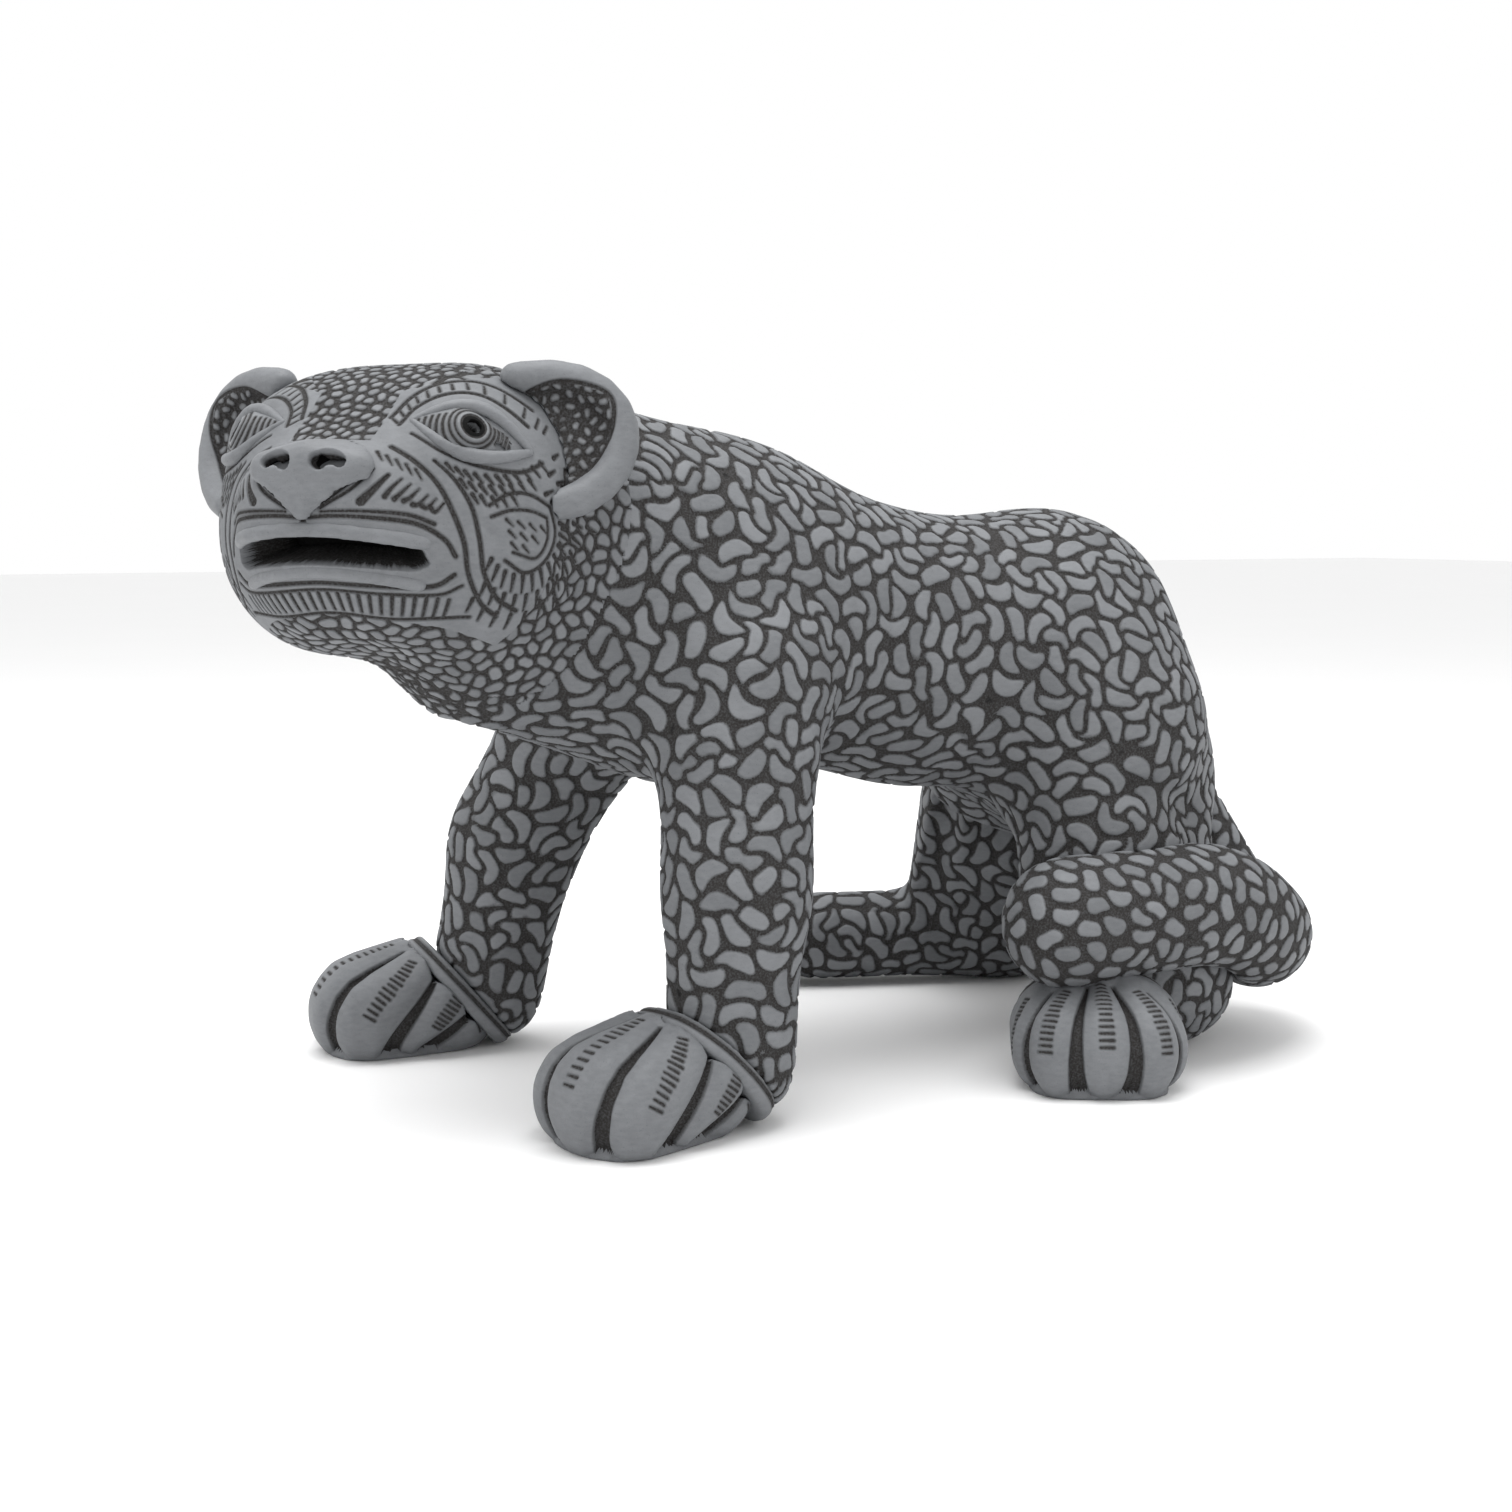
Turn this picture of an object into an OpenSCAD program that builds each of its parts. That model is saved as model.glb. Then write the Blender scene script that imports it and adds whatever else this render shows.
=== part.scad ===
// Hollow-built clay big cat, crouched behind, with its head turned to its left.
// Frame: +Z is up, the soles stand on z = 0, the head is towards -Y, the animal's left is +X.
// Each clay piece is swept from rings. A ring's points are found on a blended skin of round limbs,
// so that neighbouring pieces meet face to face on their joint planes.

/* [Body] */
// Distance from the shoulders back to the hips
back_length = 82; // [76:1:98]
// Height of the middle of the shoulders
shoulder_height = 99; // [92:1:108]
// Height of the middle of the hips
hip_height = 86; // [80:1:94]
// Radius of the chest at the shoulders
chest_radius = 31; // [27:0.5:35]
// Radius of the waist
waist_radius = 26.5; // [22:0.5:29]
// Radius of the hips
hip_radius = 29; // [25:0.5:33]
// Thickness of the clay wall of the hollow body and head
clay_wall = 6; // [4:0.5:8]

/* [Head] */
// Radius of the skull
skull_radius = 22; // [18:0.5:25]
// Turn of the head to its left, in degrees
head_turn = 43; // [25:1:50]
// Lift of the nose above level, in degrees
head_lift = 10; // [0:1:20]
// Reach of the head centre in front of the shoulders
head_reach = 69; // [62:1:76]
// Height of the head centre above the shoulders
head_rise = 18; // [12:1:24]
// Reach of the nose tip in front of the skull centre
muzzle_reach = 33; // [29:0.5:38]
// Height of the open mouth slot
mouth_gap = 5; // [3.5:0.25:6.5]
// Half angle across the mouth slot, in degrees
mouth_half_angle = 38; // [32:1:44]
// Radius of the rolled rim of an ear
ear_rim = 3.2; // [2.5:0.1:4]
// Reach of an ear tip from the middle of the skull
ear_reach = 42; // [38:1:48]
// Radius of a rolled eyelid
lid_radius = 1.5; // [1:0.1:2]
// Radius of an eyeball
eye_radius = 6; // [5:0.25:7]
// Width of a pierced pupil or nostril
pierced_hole = 2.2; // [1.5:0.1:3]

/* [Legs and paws] */
// Sideways distance from the middle to the left front leg
front_stance = 37; // [32:1:42]
// Radius of a front leg
front_leg_radius = 12; // [10:0.5:14]
// Radius of a hind shin
hind_leg_radius = 12; // [10:0.5:13.5]
// Radius of a paw
paw_radius = 14; // [12:0.5:16]
// Reach of a front paw in front of its cuff
paw_reach = 31; // [27:0.5:35]
// Reach of a hind paw in front of its cuff
hind_paw_reach = 25; // [22:0.5:28]
// Thickness of the smooth cuff between a leg and its paw
cuff_width = 3; // [2:0.25:5]
// How far a cuff stands proud
cuff_proud = 0.6; // [0.4:0.1:1.2]

/* [Tail] */
// Radius of the tail roll
tail_radius = 12.5; // [10.5:0.25:14]

/* [Hidden] */
LEFT = 1;
RIGHT = -1;
SLIP = [0.60, 0.61, 0.63];
CLAY = [0.30, 0.28, 0.27];
UP = [0, 0, 1];

// Blend and search settings of the skin
skin_blend = 4;      // how softly limbs run into each other
paw_blend = 3;
search_steps = 16;
search_miss = 0.02;
ground_cut = 2;      // paws are swept this far under the ground, then cut flat

// The figure is shifted so that its box is centred on the Z axis
figure_shift = [15.5, -4.3, 0];

// ---- Skeleton points, from the sizes above ----
shoulder = [0, -16, shoulder_height];
hips = [0, shoulder[1] + back_length, hip_height];
waist = [0, shoulder[1] + back_length * 0.58, (shoulder_height + hip_height) / 2 - 5.5];
rump = hips + [0, 12, -16];
head_centre = shoulder + [11, -head_reach, head_rise];
nape = shoulder + [6, -40, 18];
throat = shoulder + [6, -50, -3];
breast = shoulder + [0, -10, -11];

// Head axes: forward, to the animal's left, and up through the crown
head_ahead = [sin(head_turn) * cos(head_lift), -cos(head_turn) * cos(head_lift), sin(head_lift)];
head_left = [cos(head_turn), sin(head_turn), 0];
head_crown = cross(head_ahead, head_left);
function on_head(q) = head_centre + q[0] * head_ahead + q[1] * head_left + q[2] * head_crown;

// Limb: two ends with a radius at each
function limb(a, b, ra, rb) = [a, b, ra, rb];
function head_limb(a, b, ra, rb) = limb(on_head(a), on_head(b), ra, rb);

neck_limbs = [limb(nape, shoulder, skull_radius + 2, chest_radius),
    limb(throat, breast, skull_radius - 2, chest_radius - 6)];
back_limbs = [limb(shoulder, waist, chest_radius, waist_radius),
    limb(waist, hips, waist_radius, hip_radius),
    limb(hips, rump, hip_radius, hip_radius - 4)];

// Legs: the top of each limb is inside the body, which ends at a joint plane across the limb
elbow_height = 46;
ankle_height = 12;
function elbow(side) = side == LEFT ? [front_stance, -28, elbow_height]
    : [-front_stance - 4, -42, elbow_height];
function wrist(side) = side == LEFT ? [front_stance - 1, -29, ankle_height]
    : [-front_stance - 10, -47, ankle_height];
function front_limbs(side) = [
    limb(shoulder + [side * 26, side == LEFT ? -6 : -11, -17], elbow(side),
        front_leg_radius + 6, front_leg_radius),
    limb(elbow(side), wrist(side), front_leg_radius, front_leg_radius + 1)];

function knee(side) = hips + (side == LEFT ? [26, -2, -46] : [-43, 17, -48]);
function heel(side) = [side == LEFT ? 22 : -48, hips[1] + (side == LEFT ? 25 : 35), 11.5];
function hock(side) = heel(side) + [side * 2, -8, 7];
function instep(side) = [side == LEFT ? 33 : -68, hips[1] - (side == LEFT ? 6 : 20), 11.5];
function hind_limbs(side) = [
    limb(hips + [side * 18, 4, -16], knee(side), hip_radius - 6, hind_leg_radius + 2),
    limb(knee(side), hock(side), hind_leg_radius + 1, hind_leg_radius - 1),
    limb(rump + [side * 8, 11, -14], hock(side), hind_leg_radius + 5, hind_leg_radius),
    limb(instep(side), heel(side), hind_leg_radius - 1, hind_leg_radius - 1.5)];

skull_limbs = [head_limb([-7, 9, 5.5], [-7, -9, 5.5], skull_radius, skull_radius),
    head_limb([-1, 17, -6], [-1, -17, -6], skull_radius - 6, skull_radius - 6),
    head_limb([6, 16, 8], [6, -16, 8], skull_radius - 10.5, skull_radius - 10.5),
    head_limb([8, 9, -5], [muzzle_reach - 12, 7, -4], 14, 10.5),
    head_limb([8, -9, -5], [muzzle_reach - 12, -7, -4], 14, 10.5),
    head_limb([1, 13, -14], [muzzle_reach - 20, 8, -15], 11, 8.5),
    head_limb([1, -13, -14], [muzzle_reach - 20, -8, -15], 11, 8.5)];

torso_limbs = concat(neck_limbs, back_limbs, front_limbs(LEFT), front_limbs(RIGHT),
    [for (s = [LEFT, RIGHT]) for (i = [0 : 2]) hind_limbs(s)[i]], skull_limbs);
head_limbs = concat(skull_limbs, neck_limbs);
shoulder_limbs = [neck_limbs[0], neck_limbs[1], back_limbs[0]];
haunch_limbs = [back_limbs[1], back_limbs[2]];

// ---- Skin: distance to the blended limbs, negative inside ----
function limb_distance(p, l) =
    let (ab = l[1] - l[0], h = max(0, min(1, ((p - l[0]) * ab) / (ab * ab))))
    norm(p - l[0] - h * ab) - (l[2] + (l[3] - l[2]) * h);
function skin(p, limbs, blend) =
    -blend * ln([for (l = limbs) exp(-limb_distance(p, l) / blend)] * [for (l = limbs) 1]);

// Walks from radius r inwards until it meets the skin
function meet(o, d, r, limbs, blend, inset, steps = search_steps) =
    let (gap = skin(o + d * r, limbs, blend) + inset)
    steps == 0 || gap < search_miss || r < 1 ? r : meet(o, d, r - gap, limbs, blend, inset, steps - 1);

// How far a ray may run before it leaves the half spaces [normal, offset]
function room(o, d, walls, reach) =
    min(concat([reach], [for (w = walls) w[0] * d > 0.0001 ? (w[1] - w[0] * o) / (w[0] * d) : reach]));

// Ring frame: middle, first axis, second axis
function ring(frame, count, reach, limbs, blend, walls, inset = 0) =
    [for (i = [0 : count - 1])
        let (t = 360 * i / count, d = frame[1] * cos(t) + frame[2] * sin(t))
        frame[0] + d * meet(frame[0], d, room(frame[0], d, walls, reach), limbs, blend, inset)];

// Distance along one ray to the skin, for the two poles of a sweep
function pole(o, d, reach, limbs, blend, inset = 0) = o + d * meet(o, d, reach, limbs, blend, inset);

function unit(v) = v / norm(v);
function mix(a, b, t) = a + (b - a) * t;
function frame_mix(f, g, t) =
    let (u = unit(mix(f[1], g[1], t)), v0 = mix(f[2], g[2], t))
    [mix(f[0], g[0], t), u, unit(v0 - (v0 * u) * u)];

// Closed solid from a first pole, rings and a last pole
module sweep(first, rings, last) {
    n = len(rings[0]);
    m = len(rings);
    points = concat([first], [for (r = rings) for (p = r) p], [last]);
    end = m * n + 1;
    polyhedron(points, concat(
        [for (i = [0 : n - 1]) [0, 1 + (i + 1) % n, 1 + i]],
        [for (j = [0 : m - 2]) for (i = [0 : n - 1])
            let (a = 1 + j * n + i, b = 1 + j * n + (i + 1) % n) each [[a, b, b + n], [a, b + n, a + n]]],
        [for (i = [0 : n - 1]) [end, 1 + (m - 1) * n + i, 1 + (m - 1) * n + (i + 1) % n]]));
}

// A sweep whose rings run the other way round
module sweep_turned(first, rings, last) sweep(last, reversed(rings), first);
function reversed(list) = [for (i = [len(list) - 1 : -1 : 0]) list[i]];

// ---- Torso: a hollow shell, open to the head at the neck ----
torso_count = 38;
torso_step = 1 / 9;
torso_reach = 75;    // no point of the skin is further than this from the middle line
torso_tip_angles = [14, 28, 42, 55, 67, 78, 85];
neck_frame = [on_head([-15, 0, -5]), head_left, head_crown];
chest_frame = [shoulder + [0, 2, -2], [1, 0, 0], UP];
loin_frame = [mix(waist, hips, 0.3), [1, 0, 0], UP];
rear_frame = [hips + [0, 4, -6], [1, 0, 0], UP];
function torso_frame(s) = s < 1 ? frame_mix(neck_frame, chest_frame, s)
    : s < 2 ? frame_mix(chest_frame, loin_frame, s - 1) : frame_mix(loin_frame, rear_frame, s - 2);
// Joint plane of a leg: [direction away from the body, distance along it]
seat_gap = 8;
function seat(from, to, distance) = let (n = unit(to - from)) [n, n * from + distance];
function front_seat(side) = seat(shoulder, elbow(side), chest_radius + seat_gap);
function hind_seat(side) = seat(hips, knee(side), hip_radius + seat_gap + 4);
function beyond(s) = [-s[0], -s[1]];
function inset_seat(s, inset) = [s[0], s[1] - inset];
function seats_at(f, inset) = [for (side = [LEFT, RIGHT])
    inset_seat(f[0][1] > mix(waist, hips, 0.3)[1] - 0.1 ? hind_seat(side) : front_seat(side), inset)];
function rear_tip(inset) = pole(rear_frame[0], [0, 1, 0], 60, torso_limbs, skin_blend, inset);
function tip_frames(base, tip, angles) = [for (t = angles)
    [mix(base[0], tip, sin(t)), base[1], base[2]]];
function torso_rings(step, angles, inset) =
    [for (f = concat([for (s = [0 : step : 3]) torso_frame(s)],
            tip_frames(rear_frame, rear_tip(inset), angles)))
        ring(f, torso_count, torso_reach, torso_limbs, skin_blend,
            seats_at(f, inset == 0 ? -seat_spare : inset), inset)];

// Ring frame on a joint plane, at the limb's own middle line
function seat_frame(s, from, to) = let (n = s[0], u = unit([1, 0, 0] - n * n[0]),
        place = from + unit(to - from) * ((s[1] - n * from) / (n * unit(to - from))))
    [place, u, cross(-n, u)];

// Legs are swept a little past their joint plane, then cut on it
seat_spare = 5;
seat_reach = 34;
module past_seat(s, from, to, reach, depth) {
    f = seat_frame(s, from, to);
    multmatrix([for (i = [0 : 3]) i < 3 ? [f[1][i], -f[2][i], s[0][i], f[0][i]] : [0, 0, 0, 1]])
        cylinder(r = reach, h = depth, $fn = 48);
}
module seats(depth) {
    for (side = [LEFT, RIGHT]) {
        past_seat(front_seat(side), front_limbs(side)[0][0], elbow(side), seat_reach, depth);
        past_seat(hind_seat(side), hips, knee(side), seat_reach, depth);
    }
}
module torso_solid() difference() {
    sweep(neck_frame[0], torso_rings(torso_step, torso_tip_angles, 0), rear_tip(0));
    seats(60);
}
module torso_shell() color(CLAY) difference() {
    sweep_turned(rear_tip(0), concat(reversed(torso_rings(torso_step, torso_tip_angles, 0)),
        torso_rings(0.25, [30, 60, 80], clay_wall)), rear_tip(clay_wall));
    seats(60);
}

// ---- Head: swept along its own axis, from the neck plane to the muzzle ----
head_count = 38;
head_far = 60;       // no point of the face is further than this from the skull centre
muzzle_frame = [on_head([8, 0, -5]), head_left, head_crown];
function muzzle_tip(inset) = pole(muzzle_frame[0], head_ahead, 50, head_limbs, skin_blend, inset);
// The hollow's rings are turned half a facet, so that no edge of it runs along an edge of the skin
function turned(f, a) = [f[0], f[1] * cos(a) + f[2] * sin(a), f[2] * cos(a) - f[1] * sin(a)];
function head_rings(start, step, angles, inset) =
    [for (f = concat([for (s = [start : step : 1]) frame_mix(neck_frame, muzzle_frame, s)],
            tip_frames(muzzle_frame, muzzle_tip(inset), angles)))
        ring(turned(f, inset == 0 ? 0 : 180 / head_count), head_count, head_far, head_limbs, skin_blend,
            [], inset)];

module head_solid() sweep_turned(neck_frame[0], head_rings(0, 0.125, [15, 28, 40, 51, 61, 70, 78, 85], 0),
    muzzle_tip(0));
// The hollow starts a little behind the neck plane, so that it opens there, and has no ring on it
hollow_start = -0.15;
module head_hollow() sweep_turned(frame_mix(neck_frame, muzzle_frame, hollow_start)[0],
    head_rings(hollow_start, 0.25, [25, 50, 75], clay_wall), muzzle_tip(clay_wall));

// A point on the face, by its direction from the skull centre and its height over the skin
function face_ray(turn, lift) = head_ahead * cos(turn) * cos(lift) + head_left * sin(turn) * cos(lift)
    + head_crown * sin(lift);
function on_face(turn, lift, out = 0) =
    let (d = face_ray(turn, lift)) pole(head_centre, d, head_far, head_limbs, skin_blend) + d * out;

// Rolled clay: balls joined one to the next along points [place, radius]
module roll(balls, facets = 14) {
    for (i = [0 : len(balls) - 2]) hull() {
        translate(balls[i][0]) sphere(balls[i][1], $fn = facets);
        translate(balls[i + 1][0]) sphere(balls[i + 1][1], $fn = facets);
    }
}

// Mouth: a slot bent round the muzzle, cut from the skin to the hollow
mouth_lift = -23;
mouth_drop = -3;
roll_steps = 10;
function mouth_line(t, shift) = let (s = 2 * t - 1)
    [s * mouth_half_angle, mouth_lift + mouth_drop * s * s + shift];
module mouth_slot() {
    for (i = [0 : roll_steps - 1]) hull() for (t = [i, i + 1], reach = [-14, 8]) {
        m = mouth_line(t / roll_steps, 0);
        translate(on_face(m[0], m[1], reach)) sphere(mouth_gap / 2, $fn = 12);
    }
}

// The jaw is a separate piece of clay below this plane in the head's own axes
jaw_plane = -13.5;
jaw_back = -4;
jaw_box = [80, 120, 60];
module in_head_axes() multmatrix([
    [head_ahead[0], head_left[0], head_crown[0], head_centre[0]],
    [head_ahead[1], head_left[1], head_crown[1], head_centre[1]],
    [head_ahead[2], head_left[2], head_crown[2], head_centre[2]],
    [0, 0, 0, 1]]) children();
module jaw_space() in_head_axes() translate([jaw_back, -jaw_box[1] / 2, jaw_plane - jaw_box[2]])
    cube(jaw_box);

module head_shell() color(SLIP) difference() {
    head_solid();
    head_hollow();
    mouth_slot();
    jaw_space();
    pupil_hole(LEFT);
    pupil_hole(RIGHT);
}
module lower_jaw() color(SLIP) difference() {
    intersection() {
        head_solid();
        jaw_space();
    }
    head_hollow();
    mouth_slot();
}

// Lips: rolls luted above and below the slot
lip_radius = 1.6;
lip_shift = 7;       // degrees of lift from the middle of the slot to the middle of a lip
lip_spread = 1.04;   // a lip is this much wider than the slot
luted_proud = 0.2;   // lips and lids stand this far over the skin at their middle line
module lip(shift) difference() {
    roll([for (i = [0 : roll_steps]) let (m = mouth_line(i / roll_steps, shift))
        [on_face(m[0] * lip_spread, m[1], luted_proud), lip_radius]], 10);
    head_solid();
    mouth_slot();
}
module upper_lip() color(SLIP) lip(lip_shift);
module lower_lip() color(SLIP) lip(-lip_shift);

// Nose leather with two pierced nostrils
nostril_spread = 5;
nostril_rise = 2.5;
nose_width = 8.5;
module nose_pad() color(SLIP) difference() {
    hull() for (q = [[muzzle_reach - 3, nose_width, 1.5, 3.4], [muzzle_reach - 3, -nose_width, 1.5, 3.4],
            [muzzle_reach - 2, 0, 2.5, 4], [muzzle_reach - 1, 0, -6, 2],
            [muzzle_reach - 9, 5, 5, 3], [muzzle_reach - 9, -5, 5, 3]])
        translate(on_head([q[0], q[1], q[2]])) sphere(q[3], $fn = 18);
    head_solid();
    for (side = [LEFT, RIGHT]) hull() for (spread = [-0.8, 1.6])
        translate(on_head([muzzle_reach + 1, side * (nostril_spread + spread), nostril_rise]))
            sphere(pierced_hole / 2, $fn = 12);
}

// Ears: a rolled rim round a thin cupped back
ear_top = [3, 24, 23];
ear_foot = [3, 33, 0];
function ear_point(t) = let (a = ear_top, b = [-6, ear_reach + 3, 29], c = [-8, ear_reach + 6, 5],
        d = ear_foot)
    a * (1 - t) * (1 - t) * (1 - t) + b * 3 * t * (1 - t) * (1 - t) + c * 3 * t * t * (1 - t) + d * t * t * t;
function mirrored(q, side) = on_head([q[0], side * q[1], q[2]]);
module ear(side) color(SLIP) difference() {
    union() {
        roll([for (i = [0 : roll_steps]) [mirrored(ear_point(i / roll_steps), side), ear_rim]], 14);
        hull() {
            for (i = [0 : 2 : roll_steps])
                translate(mirrored(ear_point(i / roll_steps) + [-1.5, -1, 0], side)) sphere(1.6, $fn = 12);
            translate(mirrored([-6, 30, 10], side)) sphere(2.5, $fn = 12);
        }
    }
    head_solid();
}
module left_ear() ear(LEFT);
module right_ear() ear(RIGHT);

// Eyes: a dome with a pierced pupil between two rolled lids
eye_inner = [33, 27];
eye_outer = [74, 15];
lid_open = 9;
function eye_line(t, open) = let (m = mix(eye_inner, eye_outer, t))
    m + open * sin(180 * t) * [sin(16), cos(16)];
function eye_point(t, open, side, out) = let (m = eye_line(t, open)) on_face(side * m[0], m[1], out);
module pupil_hole(side) translate(eye_point(0.5, 0, side, -12)) multmatrix(look(side))
    cylinder(d = pierced_hole, h = 20, $fn = 16);
function look(side) = let (m = eye_line(0.5, 0), w = face_ray(side * m[0], m[1]),
        u = unit(cross(head_crown, w)), v = cross(w, u))
    [[u[0], v[0], w[0], 0], [u[1], v[1], w[1], 0], [u[2], v[2], w[2], 0], [0, 0, 0, 1]];
module eye_ball_blank(side) hull() for (t = [0.2, 0.5, 0.8])
    translate(eye_point(t, 0, side, t == 0.5 ? 1.5 - eye_radius : -eye_radius * 0.75))
        sphere(t == 0.5 ? eye_radius : eye_radius * 0.75, $fn = 28);
module eyeball(side) color(SLIP) difference() {
    eye_ball_blank(side);
    head_solid();
    pupil_hole(side);
}
module left_eyeball() eyeball(LEFT);
module right_eyeball() eyeball(RIGHT);
module eyelid(side, open) color(SLIP) difference() {
    roll([for (i = [0 : roll_steps]) let (t = i / roll_steps)
        [eye_point(t, open, side, luted_proud), lid_radius * (0.55 + 0.45 * sin(180 * t))]], 8);
    head_solid();
    eye_ball_blank(side);
}
module left_upper_eyelid() eyelid(LEFT, lid_open);
module left_lower_eyelid() eyelid(LEFT, -lid_open);
module right_upper_eyelid() eyelid(RIGHT, lid_open);
module right_lower_eyelid() eyelid(RIGHT, -lid_open);

// ---- Legs, cuffs and paws ----
leg_count = 28;
// Frame of a ring across a limb that points down at tilt 0 and along the ground at tilt 90
function foot_frame(place, turn, tilt) = let (back = [-sin(turn), cos(turn), 0])
    [place, [cos(turn), sin(turn), 0], back * cos(tilt) - UP * sin(tilt)];
under_ground = [[-UP, ground_cut]];
function along(frame) = cross(frame[1], frame[2]);

// Place, turn and tilt of each cuff plane
function ankle(side, front) =
    front ? (side == LEFT ? foot_frame([front_stance - 3, -36, 16], 12, 48)
        : foot_frame([-front_stance - 14, -53, 15], -8, 50))
    : (side == LEFT ? foot_frame(instep(LEFT) + [5, -5, 3], 60, 60)
        : foot_frame(instep(RIGHT) + [-4, -7, 1], -28, 72));
function past(frame, far) = [frame[0] - along(frame) * far, frame[1], frame[2]];

function paw_limbs(frame, turn, front) =
    let (g = [sin(turn), -cos(turn), 0], u = [cos(turn), sin(turn), 0],
        base = [frame[0][0], frame[0][1], 0], spread = front ? 3.5 : 5,
        reach = front ? paw_reach : hind_paw_reach)
    [for (s = [-1, 1]) limb(base + g * 1 + u * s * spread + UP * (paw_radius - 3),
        base + g * (reach - paw_radius) + u * s * (spread + 1.5) + UP * (paw_radius - 5.5),
        paw_radius - 1.5, paw_radius - 2.5)];
function turn_of(frame) = atan2(frame[1][1], frame[1][0]);

// Everything under the ground is cut away
ground_reach = 140;
ground_depth = 20;
module on_ground() difference() {
    children();
    translate([-ground_reach, -ground_reach, -ground_depth])
        cube([2 * ground_reach, 2 * ground_reach, ground_depth]);
}

module front_leg(side) color(CLAY) on_ground() {
    limbs = concat(front_limbs(side), shoulder_limbs);
    a = seat_frame(front_seat(side), front_limbs(side)[0][0], elbow(side));
    b = foot_frame(elbow(side) - UP * 4, 0, 0);
    c = ankle(side, true);
    frames = concat([for (s = [0 : 0.125 : 0.9]) frame_mix(a, b, s)],
        [for (s = [0 : 0.1 : 1.01]) frame_mix(b, c, s)]);
    sweep(a[0], [for (f = frames) ring(f, leg_count, 30, limbs, skin_blend, under_ground)], c[0]);
}
module front_left_leg() front_leg(LEFT);
module front_right_leg() front_leg(RIGHT);

module hind_leg(side) color(CLAY) on_ground() {
    limbs = concat(hind_limbs(side), haunch_limbs);
    c = ankle(side, false);
    walls = concat(under_ground, [inset_seat(beyond(hind_seat(side)), -seat_spare)]);
    b = foot_frame(mix(instep(side), heel(side), 0.85) + UP * 3, turn_of(c), 90);
    away = unit(heel(side) - instep(side));
    tip = pole(b[0], away, 30, limbs, skin_blend);
    frames = concat([for (s = [0 : 0.1 : 1]) frame_mix(c, b, s)], tip_frames(b, tip, [20, 40, 58, 74, 84]));
    intersection() {
        sweep_turned(c[0], [for (f = frames) ring(f, 36, 48, limbs, skin_blend, walls)], tip);
        past_seat(hind_seat(side), hips, knee(side), 120, 160);
    }
}
module hind_left_leg() hind_leg(LEFT);
module hind_right_leg() hind_leg(RIGHT);

module paw(side, front) color(SLIP) on_ground() {
    c = past(ankle(side, front), cuff_width);
    turn = turn_of(c);
    limbs = paw_limbs(c, turn, front);
    d = foot_frame([c[0][0], c[0][1], 8] + [sin(turn), -cos(turn), 0] * 5, turn, 90);
    tip = pole(d[0], -along(d), 40, limbs, paw_blend);
    frames = concat([for (s = [0 : 0.25 : 1]) frame_mix(c, d, s)],
        tip_frames(d, tip, [16, 32, 47, 60, 72, 82]));
    sweep(c[0], [for (f = frames) ring(f, 36, 40, limbs, paw_blend, under_ground)], tip);
}
module front_left_paw() paw(LEFT, true);
module front_right_paw() paw(RIGHT, true);
module hind_left_paw() paw(LEFT, false);
module hind_right_paw() paw(RIGHT, false);

module cuff(side, front) color(SLIP) on_ground() {
    c = ankle(side, front);
    e = past(c, cuff_width);
    limbs = concat(front ? front_limbs(side) : hind_limbs(side), paw_limbs(e, turn_of(e), front));
    walls = under_ground;
    rings = [for (s = [0, 0.12, 0.35, 0.65, 0.88, 1])
        ring(past(c, cuff_width * s), 36, 34, limbs, 1.5, walls,
            -cuff_proud * sqrt(max(0, 1 - pow(2 * s - 1, 2) * 0.8)))];
    sweep(c[0], rings, e[0]);
}
module front_left_cuff() cuff(LEFT, true);
module front_right_cuff() cuff(RIGHT, true);
module hind_left_cuff() cuff(LEFT, false);
module hind_right_cuff() cuff(RIGHT, false);

// ---- Tail: from the rump down to the ground, then round over the left hind foot ----
tail_route = [rump + [2, 20, -16], rump + [11, 36, -46], rump + [30, 28, -46],
    hips + [41, 16, -52], hips + [41, -20, -53]];
tail_steps = 16;
// Smooth curve through the route's points
function spline(route, x) =
    let (n = len(route) - 1, i = min(n - 1, floor(x * n)), t = x * n - i,
        p0 = route[max(0, i - 1)], p1 = route[i], p2 = route[i + 1], p3 = route[min(n, i + 2)])
    0.5 * (2 * p1 + (p2 - p0) * t + (2 * p0 - 5 * p1 + 4 * p2 - p3) * t * t
        + (3 * p1 - p0 - 3 * p2 + p3) * t * t * t);
module tail_roll() roll([for (i = [0 : tail_steps]) let (t = i / tail_steps)
    [spline(tail_route, t), tail_radius + (t < 0.5 ? 0 : 3 * (t - 0.5))]], 16);
module tail() color(CLAY) on_ground() difference() {
    tail_roll();
    torso_solid();
    hind_left_leg();
}

module placed() translate(figure_shift) children();
placed() torso_shell();
placed() head_shell();
placed() lower_jaw();
placed() upper_lip();
placed() lower_lip();
placed() nose_pad();
placed() left_ear();
placed() right_ear();
placed() left_eyeball();
placed() right_eyeball();
placed() left_upper_eyelid();
placed() left_lower_eyelid();
placed() right_upper_eyelid();
placed() right_lower_eyelid();
placed() front_left_leg();
placed() front_right_leg();
placed() hind_left_leg();
placed() hind_right_leg();
placed() front_left_paw();
placed() front_right_paw();
placed() hind_left_paw();
placed() hind_right_paw();
placed() front_left_cuff();
placed() front_right_cuff();
placed() hind_left_cuff();
placed() hind_right_cuff();
placed() tail();
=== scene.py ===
"""Fired-clay big cat: slip skin scratched with beans, carved face, toed paws, on a pale floor."""

from __future__ import annotations

import logging
import math
from dataclasses import dataclass, field
from enum import Enum
from typing import Sequence

import bmesh
import bpy
import numpy as np
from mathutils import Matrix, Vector
from mathutils.bvhtree import BVHTree
from mathutils.kdtree import KDTree

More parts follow.
